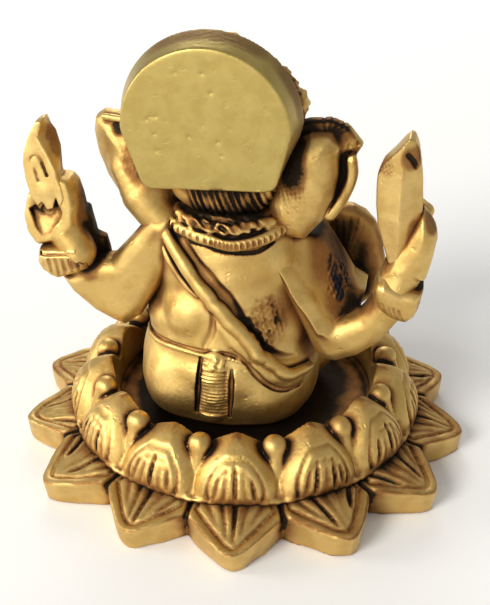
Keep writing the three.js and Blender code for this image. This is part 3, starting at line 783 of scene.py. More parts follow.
def belt(clay):
    """The waistband: a mound of flesh over it on the left, an engraved line, and a row of grains."""
    clay.egg(fig(4.9, 8.8, 19.4), (4.1, 4.1, 4.7), (0, -14, 0), soft=0.9)
    clay.egg(fig(-0.9, 10.8, 17.4), (2.6, 2.4, 2.9), (0, 20, 0), soft=0.6)
    clay.score(at_y(20, (1.0, 23.2), (0.8, 20.8), (1.2, 18.2), (2.2, 15.9)), 0.5, 0.35, soft=0.6)
    line = figs((13.4, 6, 14.0), (10.5, 14, 14.4), (8, 18, 14.9), (5.2, 20, 15.1), (2.6, 20, 15.1),
                (-0.4, 20, 15.3), (-4, 20, 14.4), (-5.8, 20, 13.8))
    clay.score(line, 0.28, 0.3, soft=0.3)
    grains = clay.drape(smooth_path([p - [0, 0, 0.7] for p in line], 6), (0, -1, 0), -0.08)
    clay.beads(grains, 0.33, 0.62)
    front = ring_of(lambda a: fig(13.2 * math.cos(a), 2 - 12 * math.sin(a), 13.4 + 0.6 * math.cos(2 * a)),
                    40, 0.15, 3.0)
    clay.tube(clay.stick(front, 0.1), 0.7, 0.3, margin=1.5, smooth=0)


def pleats(clay):
    """The pleated fall of the waist cloth down the middle of the back, between two deep slots."""
    fall = at_y(20, (0.5, 13.4), (0.6, 9), (0.8, 4.8))
    clay.ridge(fall, [2.1, 2.2, 2.2], -0.5, 0.3, flat=((0, 1, 0), 0.55), margin=1.5)
    for k in range(13):
        height = 4.7 + 0.63 * k
        clay.score(at_y(20, (-1.5, height), (0.6, height + 0.1), (2.8, height)), 0.27, 0.36)
    clay.grit(0.22, 1.1, 8, fig(0.5, 14.6, 13.6), (2.4, 2, 1.2))
    for points in (at_y(20, (2.75, 13.9), (3.0, 9.6), (3.4, 4.3)),
                   at_y(20, (-2.3, 12.6), (-2.3, 9.0), (-2.0, 4.0))):
        clay.furrow(points, [0.25, 0.45, 0.48, 0.35], flat=((0, 1, 0), 1.6), steps=5)


def thread(clay):
    """The sacred thread from the left shoulder to the right hip: a band, a cord and a second band."""
    way = (0.15, -1, 0)
    second = figs((0.2, 20, 21.6), (-2.0, 20, 19.4), (-3.8, 20, 17.2), (-5.5, 20, 15.2), (-7.9, 20, 12.6),
                  (-9.8, 17, 11.0), (-12.9, 12, 9.6))
    clay.ridge(second, [0.4, 1.1, 1.5, 1.6, 1.5, 1.3, 0.9], -0.55, 0.5, way=way)
    under = figs((-3.0, 20, 16.4), (-4.4, 20, 14.9), (-5.9, 20, 13.2), (-7.3, 20, 11.5), (-8.9, 20, 10.1),
                 (-10.8, 17, 8.9), (-13.0, 12, 8.4))
    clay.furrow(under, [0.2, 0.4, 0.5, 0.5, 0.45, 0.3], way=way)
    # The hollow that runs along the upper side of the band.
    beside = figs((6.6, 13, 33.6), (4.7, 15, 31.2), (2.0, 16, 28.3), (-0.4, 17, 26.0), (-2.8, 18, 23.4),
                  (-4.4, 18, 20.6), (-6.4, 18, 17.7), (-8.2, 18, 15.3), (-10.5, 16, 13.5),
                  (-12.2, 13, 12.7))
    clay.furrow(beside, [0.6, 0.75, 0.8, 0.8, 0.85, 0.85, 0.7, 0.4], 0.25, 0.5, way=way)
    band = figs((9.0, 13, 35.6), (7.6, 14, 32.2), (5.1, 16, 29.3), (2.5, 17, 26.1), (-0.5, 18, 23.2),
                (-3.0, 18, 19.9), (-5.3, 18, 17.1), (-7.0, 18, 14.9), (-9.3, 17, 12.5), (-11.5, 15, 10.9),
                (-14.0, 12, 10.4))
    clay.ridge(band, [0.85, 1.0, 1.1, 1.15, 1.2, 1.25, 1.25, 1.2, 1.15, 1.0, 0.8], 0.5, 0.12, way=way)
    cord = figs((9.2, 13, 32.6), (8.2, 14, 30.0), (6.7, 15, 27.7), (4.3, 17, 25.2), (2.6, 17, 24.0))
    clay.ridge(cord, [0.6, 0.62, 0.55, 0.35], 0.15, 0.12, way=way)
    # Coarse grain where the cloth gathers under the right arm, with a ragged upper edge.
    clay.grit(0.1, 1.5, 14, fig(-6.6, 10.4, 19.6), (3.8, 3.6, 5.4))
    clay.grit(0.08, 0.8, 15, fig(-6.6, 10.4, 19.6), (4.0, 3.6, 5.4))
    clay.mark_stain_and_shade(fig(-6.8, 10.4, 19.4), (4.0, 4.4, 6.0), 0.34)
    clay.mark_stain_and_shade(fig(0.4, 8, 36.2), (8.5, 6, 2.4), 0.4)
    clay.mark_stain_and_shade(fig(6.5, 8.0, 26.4), (3.4, 4, 5.0), 0.25)
    clay.mark_stain_and_shade(fig(-1.0, 9.0, 27.0), (9, 7, 8.5), 0.22)
    clay.mark_stain_and_shade(fig(1.9, 3, 0.5), (16, 16, 3.4), 0.5)


def ring_of(points_at, count=40, start=0.0, end=2 * math.pi):
    return np.array([points_at(a) for a in np.linspace(start, end, count)])


def necklaces(clay):
    """A grainy band round the neck over a ribbed collar with an engraved line below it."""
    upper = figs((8.2, 5.5, 35.2), (6.4, 9.0, 35.3), (4.4, 12, 35.3), (1.7, 14, 35.1), (-1.6, 14, 34.9),
                 (-3.8, 12, 35.1), (-5.8, 10, 35.3), (-7.8, 5, 34.8))
    path = clay.ridge(upper, 0.85, 0.2, 0.25)
    for k, point in enumerate(path[::2]):
        clay.egg(point + [0, 0.45, 0.35 * (-1) ** k], (0.68, 0.6, 0.55), soft=0.3)
    collar = figs((9.2, 7, 34.2), (7.4, 11, 33.8), (4.8, 15, 33.5), (1.6, 16, 33.1), (-0.3, 16, 32.7),
                  (-1.9, 16, 32.6), (-4.2, 15, 32.9), (-6.4, 13, 33.3), (-8.4, 9, 34))
    path = clay.ridge(collar, 1.0, 0.25, 0.2)
    for mid in path[1:-1:2]:
        out = np.array([mid[0] - ORIGIN[0], mid[1] - 2.0, 0.0])
        out /= np.linalg.norm(out)
        clay.groove([mid + out * 1.0 + [0, 0, -0.9], mid + out * 0.9 + [0, 0, 1.0]], 0.27, 0.1, smooth=0)
    clay.score(figs((5.2, 15, 32.2), (2.6, 16, 32.2), (0.6, 16, 31.7), (-1.6, 16, 31.4), (-3.8, 15, 31.3),
                    (-5.7, 14, 31.5), (-7.6, 10, 32.6)), 0.3, 0.4)
    clay.grit(0.25, 1.2, 21, fig(0.3, 8.6, 35.4), (7.5, 3.0, 1.6))
    for drop, width, size in ((29.2, 9.0, 0.62), (26.2, 7.2, 0.5), (22.6, 5.6, 0.5)):
        def strung(a):
            return fig(width * math.cos(a), -16, 34 - (34 - drop) * math.sin(a) ** 0.7)
        string = ring_of(strung, 40, 0.12, 3.02)
        clay.beads(clay.drape(string, (0, 1, 0), 0.1), size, size * 1.75)


seated_body()

# ---------------------------------------------------------------- figure: rear arms, hands, buds


SIDES = {"left": 1, "right": -1}


def shoulder(side):
    return fig(side * 8.97, 4.6, 31.5)


def plate(clay, outline, back, front, soft=0.5, round_front=0.8):
    """Adds a body of a given outline in X and Z between a back and a front surface."""
    x, y, z = clay.everywhere()
    u, w = x - ORIGIN[0], z - ORIGIN[2]
    edge = outline_distance(outline, u, w)
    inside = np.maximum(-edge, 0)
    body = soft_max(edge * 0.9, (y - back(u, w, edge)) * 0.85, soft)
    body = soft_max(body, (front(u, w, inside) - y) * 0.85, round_front)
    clay.join(body, 0.4)


def domed(middle, depth, reach, lean=0.0):
    """A front surface that is "depth" in front of "middle" and curls back at its outline."""
    return lambda u, w, inside: middle - lean * (w - 38) - depth * quarter_round(inside / reach)


def swollen(top, depth, reach):
    """A back surface whose highest part is at "top" and that falls away "depth" at its outline."""
    return lambda u, w, edge: top - depth * (1 - quarter_round(-edge / reach))


def level(place):
    return lambda u, w, edge: place + 0 * edge


# The outline of each rear arm seen from behind, then the axis inside it and the radii along that.
ARMS = {
    "left": (
        [(11.7, 34.9), (14.9, 30.9), (18.3, 26.8), (22.4, 26.2), (26.8, 23.1), (25.1, 20.2), (21.6, 17.1),
         (18.4, 15.4), (16.4, 14.7), (13.7, 16.9), (11.0, 21.6), (8.8, 26.3), (7.6, 32.3), (8.4, 35.2)],
        figs((8.6, 3.6, 32.0), (12.4, 4.8, 26.6), (16.4, 5.2, 19.4), (20.9, 5.4, 21.9), (25.0, 5.6, 26.2)),
        [3.8, 3.1, 2.9, 2.8, 2.6]),
    "right": (
        [(-4.9, 31.4), (-8.3, 31.7), (-11.5, 26.9), (-14.3, 23.4), (-16.2, 20.0), (-17.6, 18.8),
         (-21.1, 20.5), (-23.4, 24.2), (-25.9, 24.9), (-28.4, 21.3), (-24.8, 15.9), (-21.4, 13.0),
         (-17.9, 11.5), (-15.9, 11.7), (-14.4, 12.9), (-12.4, 17.4), (-9.9, 22.6), (-8.0, 26.0),
         (-5.7, 26.2), (-3.3, 27.4)],
        figs((-6.6, 3.4, 30.0), (-11.6, 4.8, 23.6), (-17.2, 5.4, 15.4), (-22.4, 5.4, 17.9),
             (-26.2, 5.6, 23.4)),
        [3.6, 2.6, 2.8, 2.9, 2.6]),
}
BESIDE_ARM = [(-6.8, 31.6), (-10, 32.4), (-14.0, 31.4), (-16.2, 28.2), (-18.0, 25.2), (-19.4, 22.8),
              (-21.6, 21.4), (-20.8, 18.4), (-17.3, 16.4), (-15.0, 17.4), (-10.4, 24.3)]


def rear_arm(name):
    """A slim arm with a flat back. Metal fills the crook of the right one, down to the hand, and painted
    shade makes it brown.
    """
    side = SIDES[name]
    clay = room_for(f"rear_arm_{name}", 3, 1, 1)
    outline, axis, radii = ARMS[name]
    clay.tube(axis, radii, 0.5)
    plate(clay, outline, swollen(8.7, 2.6, 2.5), domed(5.2, 3.2, 2.6), 0.45)
    clay.mark_stain_and_shade(axis[0] + [side * 3.6, 3.0, 1.6], (4, 5, 3.4), 0.25)
    clay.mark_stain_and_shade(axis[-1] + [-side * 3.6, -0.5, -1.0], (3.0, 5, 3.4), 0.5)
    if name == "right":
        def slope(u, w, edge):
            away = np.clip(-0.82 * (u + 13.8) + 0.57 * (w - 23), -2, 9)
            return 7.4 - 1.05 * away
        plate(clay, BESIDE_ARM, slope, level(-8.6), 0.8)
        # Painted shade: the slope and the crook beside the palm, turned away from the light, are painted dark
        # brown.
        clay.mark_stain_and_shade(fig(-15.2, 0.4, 27.0), (5.8, 7.8, 8.6), 0.6)
        clay.mark_stain_and_shade(fig(-17.6, 3.4, 23.4), (3.6, 6, 6.5), 0.5)
        clay.grit(0.22, 0.6, 90, fig(-17.4, 3.2, 24.2), (2.0, 4, 3.6))
        for x, height, size in ((-15.9, 27.2, 0.5), (-16.7, 25.6, 0.75), (-17.4, 23.8, 1.05),
                                (-17.8, 22.0, 1.1)):
            clay.mark_stain_and_shade(fig(x, 3.0, height), (size, 4, 2.0), 0.7, "scorch")
    clay.grit(0.03, 4.2, 5 + side)
    cast(f"rear_arm_{name}", clay, CAST)


BANGLES = {
    "left": [(29.6, 28.4), (29.9, 26.4), (29.2, 25.0), (27.8, 24.0), (26.5, 23.5), (24.1, 24.5),
        (21.4, 25.7), (21.2, 27.2), (21.9, 28.8), (22.8, 30.2), (24.9, 30.0), (25.2, 29.4),
        (27.7, 29.2)],
    "right": [(-23.3, 26.6), (-23.8, 27.7), (-24.9, 28.4), (-26.4, 27.7), (-28.0, 27.0), (-30.9, 26.6),
        (-30.5, 23.9), (-29.9, 22.1), (-28.7, 21.1), (-27.6, 21.2), (-26.0, 21.7), (-24.4, 22.9),
        (-23.4, 24.6)],
}


def bangle(name):
    """A worn cuff: five leaning ribs below a bright step on the left, four faint ribs on the right."""
    side = SIDES[name]
    clay = room_for(f"bangle_{name}", 3, [1.5, 1, 1.5], [1.5, 1, 1.5])
    plate(clay, BANGLES[name], swollen(10.5, 2.6, 1.5), domed(4.8, 3.8, 2.2), 0.3)
    if side > 0:
        clay.score(at_y(12, (29.8, 28.0), (25.3, 28.5), (23.6, 28.5), (21.9, 27.2)), 0.24, 0.35)
        for k in range(6):
            x = 28.7 - 1.12 * k
            clay.score(at_y(12, (x, 27.5 + 0.05 * k), (x - 0.5, 24.9 - 0.1 * k + 0.5 * max(k - 2, 0))),
                       0.24, 0.18)
        # Partly patina, partly painted shade: the inner side of the cuff is painted brown.
        clay.mark_stain_and_shade(fig(22.4, 6.8, 27.6), (2.6, 5, 3.4), 0.5)
    else:
        for k in range(5):
            x = -24.0 - 0.85 * k
            clay.score(at_y(12, (x, 25.0 - 0.3 * k), (x - 0.6, 23.4 - 0.38 * k)), 0.22, 0.2)
        clay.mark_stain_and_shade(fig(-30.6, 7.4, 24.6), (1.6, 4, 3.4), 0.35)
    for k in range(9):
        x = centre(f"bangle_{name}")[0] - ORIGIN[0] - 3.4 + 0.85 * k
        clay.score(at_y(-4, (x, 27.2), (x + 0.3 * side, 24.4)), 0.24, 0.3)
    clay.grit(0.03, 2.6, 9 + side)
    cast(f"bangle_{name}", clay, WORN, "ring")


LEFT_FACE = [(29.2, 48.9), (30.5, 46.7), (31.2, 44.6), (31.5, 42.6), (31.2, 40.1), (30.6, 38.2),
             (30.8, 36.9), (31.0, 34.1), (30.5, 32.0), (29.3, 29.4), (24.2, 30.2), (23.8, 34.3),
             (23.9, 36.9), (24.7, 38.0), (25.5, 39.3), (26.1, 41.3), (27.6, 44.3), (29.0, 46.6),
             (28.4, 48.9)]
LEFT_BUD = [(28.2, 49.4), (29.3, 48.9), (30.5, 46.7), (31.2, 44.6), (31.5, 42.6), (31.2, 40.1),
            (30.6, 38.2), (30.4, 37.0), (29.2, 35.6), (28.5, 36.4), (27.8, 35.2), (26.7, 35.5),
            (26.3, 37.2), (25.7, 35.6), (24.9, 37.2), (25.4, 39.2), (26.0, 40.6), (26.1, 44.0),
            (26.8, 46.6), (27.6, 47.6)]
LEFT_HAND = [(31.0, 37.4), (31.9, 33.3), (31.5, 30.6), (30.3, 28.4), (26.0, 29.0), (22.8, 29.4),
             (22.0, 30.4), (22.4, 33.4), (22.9, 36.3), (23.5, 38.7), (24.4, 39.8), (25.9, 40.2),
             (28.4, 39.0)]
LEFT_PALM = [(30.6, 38.2), (31.4, 34.3), (30.9, 31.6), (29.6, 29.8), (25.6, 30.8), (24.2, 32.8),
             (23.9, 35.8), (24.4, 38.1), (24.9, 40.4)]
LEFT_POCKET = [(30.6, 35.2), (29.6, 35.8), (28.9, 35.0), (28.1, 36.2), (27.3, 34.8), (26.3, 37.0),
               (25.4, 34.9), (26.0, 33.4), (28.3, 30.6), (29.6, 32.4)]
LEDGE = [(23.4, 34.4), (22.3, 33.6), (21.5, 29.3), (19.9, 28.7), (19.4, 25.7), (18.9, 23.0), (22.0, 23.4),
         (25.0, 27.4)]
RIGHT_BUD = [(-27.3, 50.9), (-26.3, 49.9), (-25.1, 48.3), (-23.6, 46.7), (-22.9, 44.9), (-22.8, 42.3),
             (-23.0, 39.2), (-23.3, 36.6), (-24.3, 33.5), (-25.3, 30.3), (-26.7, 30.6), (-28.2, 33.7),
             (-29.2, 36.7), (-29.8, 38.8), (-29.8, 40.7), (-29.5, 44.4), (-29.1, 47.1), (-28.7, 49.2),
             (-28.1, 50.5)]
RIGHT_HAND = [(-24.0, 27.9), (-24.2, 29.0), (-24.8, 30.2), (-26.0, 31.4), (-27.2, 33.4), (-28.7, 36.6),
              (-29.9, 39.2), (-31.2, 37.6), (-32.1, 36.1), (-32.3, 34.4), (-31.9, 31.0), (-31.1, 27.6),
              (-28.0, 27.6)]


def left_face_y(height):
    """The left hand and its bud are ground flat at the back, leaning a little forward at the top."""
    return 9.6 - 0.17 * (height - 30)


def grip(clay, name, inner):
    """Four fingers that curl round the stem from the front to the inner side."""
    side = SIDES[name]
    for height, shift in ((30.6, 0.0), (33.0, 0.2), (35.3, 0.6), (37.4, 1.5)):
        x = inner + max(side * shift, 0)
        path = figs((x + side * 4.0, 1.8, height - 0.6), (x + side * 2.4, 0.4, height - 0.2),
                    (x + side * 0.9, 1.2, height + 0.2), (x + side * 0.7, 3.8, height + 0.3))
        clay.tube(path, [1.25, 1.3, 1.25, 1.05], 0.25, margin=2)


def rear_hand(name):
    side = SIDES[name]
    wrist = centre(f"bangle_{name}")
    clay = room_for(f"rear_hand_{name}", 3, 2.5, 2.5)
    stem = fig(27.0, 5.6, 33) if side > 0 else fig(-28.6, 5.6, 31.5)
    clay.tube([wrist, wrist + (stem - wrist) * 0.5, stem], [2.9, 3.0, 3.0], 0.5)
    if side > 0:
        def back(u, w, edge):
            past = np.maximum(outline_distance(LEFT_PALM, u, w), 0)
            return left_face_y(w) - 0.15 - 1.5 * past - 0.25 * past ** 2
        plate(clay, LEFT_HAND, back, domed(4.8, 3.6, 2.6), 0.6)
        plate(clay, LEDGE, lambda u, w, edge: 5.6 - 0.5 * (23.6 - u), domed(3, 2.4, 2.0), 0.6)

        def pocket(x, y, z):
            u, w = x - ORIGIN[0], z - ORIGIN[2]
            depth = np.clip(0.3 * (w - 30.4), 0, 1.3)
            return np.maximum(outline_distance(LEFT_POCKET, u, w), left_face_y(w) - depth - y)
        clay.carve(pocket, fig(22, 4, 30), fig(32, 11, 40), 0.25)
        grip(clay, name, 25.4)
        # Partly patina, partly painted shade: the inner side of the hand, turned from the light, is painted
        # brown.
        clay.mark_stain_and_shade(fig(22.4, 4.0, 33), (2.6, 5.4, 8), 0.6)
        clay.mark_stain_and_shade(fig(20.8, 4.5, 27.5), (3, 4, 4.5), 0.45)
        clay.mark_stain_and_shade(fig(28.2, 8.4, 35.6), (2.4, 2.0, 1.9), 0.2)
    else:
        plate(clay, RIGHT_HAND, swollen(9.3, 3.0, 2.4), domed(5.0, 3.4, 2.6), 0.6)
        grip(clay, name, -26.2)
        clay.mark_stain_and_shade(fig(-31.4, 7.0, 37.6), (1.8, 3.4, 2.8), 0.5)
        clay.mark_stain_and_shade(fig(-25.0, 7.4, 30.4), (1.8, 3.4, 2.4), 0.45)
    clay.grit(0.04, 2.6, 20 + side)
    cast(f"rear_hand_{name}", clay, CAST)


def lotus_bud(name):
    """A leaf-shaped bud. The left one is ground flat and engraved with an arch, the right one has a ridge."""
    side = SIDES[name]
    clay = room_for(f"lotus_bud_{name}", 3, 2, [2, 4, 2])
    if side > 0:
        def back(u, w, edge):
            past = np.maximum(outline_distance(LEFT_FACE, u, w), 0)
            return left_face_y(w) - 2.4 * past
        plate(clay, LEFT_BUD, back, domed(5.4, 3.2, 2.6, 0.1), 0.25)
        clay.tube(figs((28, 6.4, 38), (27.6, 6.2, 33)), [2.0, 1.4], 0.5)
        for places, size in (([(30.2, 42.7), (30.0, 43.5), (29.1, 43.7), (28.4, 42.8), (27.6, 40.7)], 0.12),
                             ([(29.6, 41.8), (29.3, 40.7), (29.0, 39.7)], 0.14),
                             ([(28.4, 42.6), (27.9, 41.4), (27.6, 40.6)], 0.17)):
            clay.score([fig(x, left_face_y(height) + 1, height) for x, height in places], size, 0.2)
        clay.mark_stain_and_shade(fig(26.9, 4.2, 45.2), (2.2, 3.0, 5.6), 0.5)
    else:
        def back(u, w, edge):
            inner, outer = np.maximum(u + 26.5, 0), np.maximum(-26.5 - u, 0)
            return 8.6 - 0.30 * inner - 0.5 * outer - 0.05 * np.abs(w - 38)
        plate(clay, RIGHT_BUD, back, domed(5.6, 3.4, 2.8, 0.08), 0.35)
        notch = at_y(12, (-27.2, 48.4), (-27.9, 47.5), (-28.5, 46.4))
        clay.score(notch, 0.4, 0.28)
        clay.grit(0.04, 0.5, 31, fig(-24.3, 7.4, 46.4), (2.0, 2, 2.4))
        clay.mark_stain_and_shade(fig(-27.6, 7.4, 47.8), (1.9, 3.4, 2.6), 0.5)
        clay.mark_stain_and_shade(fig(-24.2, 7.4, 46.2), (1.5, 3.4, 2.4), 0.22)
        clay.mark_stain_and_shade(fig(-28.6, 6.4, 36.0), (1.4, 3, 3.6), 0.3)
    clay.grit(0.025, 3.2, 30 + side)
    cast(f"lotus_bud_{name}", clay, WORN)


for arm_name in SIDES:
    rear_arm(arm_name)
    bangle(arm_name)
    rear_hand(arm_name)
    lotus_bud(arm_name)

# ---------------------------------------------------------------- figure: crown plate


def crown_disc():
    """The flat plate behind the crown, ground flat on its back."""
    low, high = corners("crown_disc")
    lean = math.radians(2.5)
    foot = np.array([ORIGIN[0] + 1.5, high[1], ORIGIN[2] + 31.5 + 10.7])
    thick, half, foot_half, tall = 5.4, 12.6, 9.9, 21.9
    clay = Clay(low - 0.5, high + 0.5, 2)

    def slab(x, y, z):
        px, pz = x - foot[0], z - foot[2]
        u = px * math.cos(lean) - pz * math.sin(lean)
        w = px * math.sin(lean) + pz * math.cos(lean)
        middle = tall - half
        flare = 0.22 * (foot[1] - y)
        round_top = np.hypot(u, w - middle) - half
        taper = (half - foot_half) / middle
        sides = (np.abs(u) - half + np.clip(middle - w, 0, 99) * taper) / math.hypot(1, taper)
        below = soft_max(sides, -w, 1.6)
        outline = np.where(w > middle, round_top, below) - flare * np.clip((w - 1) / 6, 0, 1)
        faces = np.maximum(y - foot[1], foot[1] - thick - y)
        return soft_max(outline * 0.95, faces, 0.35)
    clay.add(slab, low, high, 0.01)
    draw_pits = np.random.default_rng(4)
    for _ in range(16):
        spot = foot + np.array([draw_pits.uniform(-8.5, 10), 0.12, draw_pits.uniform(2, 19)])
        size = draw_pits.uniform(0.16, 0.34)
        clay.egg(spot, (size * draw_pits.uniform(1, 1.8), size, size), soft=0.1, carve=True)
    clay.egg(foot + [-1.2, 0.5, 0.7], (1.6, 0.62, 1.1), soft=0.4, carve=True)
    clay.egg(foot + [7.6, 0.35, 5.9], (0.8, 0.5, 0.5), soft=0.2, carve=True)
    clay.grit(0.05, 0.6, 6, foot + [0, -3.2, 22], (9, 2.4, 2.4))
    clay.mark_stain_and_shade(foot + [0, -4.0, 20], (12, 3.2, 5), 0.5)
    clay.mark_stain_and_shade(foot + [-9, -4.2, 12], (6, 3.0, 11), 0.5)
    clay.mark_stain_and_shade(foot + [-1.2, 0.4, 0.6], (2.2, 0.8, 1.6), 0.3)
    cast("crown_disc", clay, GROUND, "plate")


crown_disc()

# ---------------------------------------------------------------- figure: head, ears, crown

HEAD = fig(0.2, -1.6, 43.1)


def circle_about(middle, way, radius, count):
    """A ring of points round "middle", square to "way"."""
    way = np.array(way, float) / np.linalg.norm(way)
    a = np.array((0.1, 0, 1), float)
    a = a - way * (a @ way)
    a /= np.linalg.norm(a)
    b = np.cross(way, a)
    return ring_of(lambda t: middle + radius * (math.cos(t) * a + math.sin(t) * b), count)


def head():
    clay = room_for("head", 3, 1, [1, 3, 1])
    clay.egg(HEAD + [0, 0.8, 0.2], (8.0, 7.4, 8.6), soft=0.1)
    for side in (-1, 1):
        clay.egg(HEAD + [side * 3.5, -4.6, 4.6], (4.2, 3.8, 4.4), soft=1.2)
        clay.egg(HEAD + [side * 4.7, -5.0, -2.8], (3.6, 4.0, 4.6), soft=1.6)
    # Hair hangs under the plate to the neck, combed in slanting strands.
    clay.egg(fig(0.6, 3.7, 40.2), (8.6, 5.5, 5.4), soft=0.8)
    for k in range(15):
        x = 6.2 - 0.98 * k
        clay.score(at_y(16, (x, 42.6), (x - 0.9, 39.4), (x - 1.9, 35.6)), 0.24, 0.2 + 0.1 * (k % 3))
    clay.mark_stain_and_shade(fig(0.3, 7.5, 39.6), (8, 5, 4.6), 0.34)
    trunk = [HEAD + [0, -6.0, 1.4], HEAD + [0, -9.4, -2.8], HEAD + [0.4, -11.4, -7.4],
             HEAD + [2.0, -12.2, -11.8], HEAD + [4.6, -12.2, -15.0], HEAD + [7.0, -11.6, -16.0],
             HEAD + [8.2, -11.0, -14.2]]
    clay.tube(trunk, [4.1, 3.7, 3.1, 2.7, 2.3, 1.9, 1.4], 1.4)
    path = smooth_path(trunk[:-1], 5)
    for k in range(3, len(path) - 1):
        way = path[k + 1] - path[k - 1]
        radius = np.interp(k / len(path), (0, 0.2, 0.5, 1), (4.2, 3.8, 2.85, 1.85))
        clay.groove(circle_about(path[k], way, radius + 0.1, 20), 0.24, 0.15, smooth=0)
    for side in (-1, 1):
        eye = HEAD + [side * 4.6, -7.6, 0.6]
        clay.egg(clay.stick([eye + [0, -1, 0]], -0.35)[0], (1.35, 0.9, 0.95), (0, side * 14, 0), soft=0.15)
        for lift, size in ((1.2, 0.42), (-1.05, 0.3)):
            lid = [eye + [-1.9, -3, 0.1], eye + [0, -3, lift], eye + [1.9, -3, 0.1 - 0.3 * side]]
            clay.ridge(lid, size, 0.0, 0.2, way=(0, 1, 0), steps=5, margin=1)
        brow = [eye + [-side * 2.6, -3, 2.0], eye + [side * 0.2, -3, 3.2], eye + [side * 2.8, -3, 2.0]]
        clay.ridge(brow, 0.5, 0.0, 0.6, way=(0, 1, 0), steps=5, margin=1.5)
        tusk = [HEAD + [side * 3.6, -7.0, -5.0], HEAD + [side * 4.6, -10.0, -6.4],
                HEAD + [side * 5.2, -12.6, -6.2]]
        clay.tube(tusk, [1.7, 1.25, 0.6], 0.5)
        clay.groove(circle_about(HEAD + [side * 3.95, -8.2, -5.6], tusk[1] - tusk[0], 1.6, 16), 0.25, 0.15,
                    smooth=0)
    clay.egg(HEAD + [-0.6, -7.4, -8.0], (2.4, 2.2, 1.5), soft=0.5)
    clay.egg(HEAD + [-0.6, -10.2, -7.2], (1.3, 1.6, 0.5), soft=0.3, carve=True)
    for lift in (0.0, 1.1, 2.2):
        mark = [HEAD + [x, -16, 5.4 + lift - 0.05 * x * x] for x in (-2.6, 0, 2.6)]
        clay.ridge(mark, 0.3, 0.0, 0.2, way=(0, 1, 0), steps=5, margin=1)
    clay.grit(0.05, 3.0, 40)
    cast("head", clay, CAST)


# Outlines seen from behind: distance from the middle, height.
EARS = {
    "left": [(7.4, 47.6), (10, 49.4), (14, 49.6), (17.1, 49.1), (20.1, 49.1), (21.6, 47.7),
        (22.0, 45.6), (21.3, 41.8), (20.0, 38.6), (18.4, 36.3), (15.6, 34.4), (12.4, 33.2),
        (9.8, 33.6), (7.0, 37.0)],
    "right": [(7.0, 46.6), (9.4, 49.6), (12.2, 50.6), (15.3, 50.7), (17.8, 49.4), (19.0, 47.8),
        (20.1, 46.3), (19.1, 44.6), (19.2, 42.0), (18.0, 38.2), (15.8, 35.2), (12.6, 33.2),
        (9.2, 33.0), (6.6, 37.0)],
}


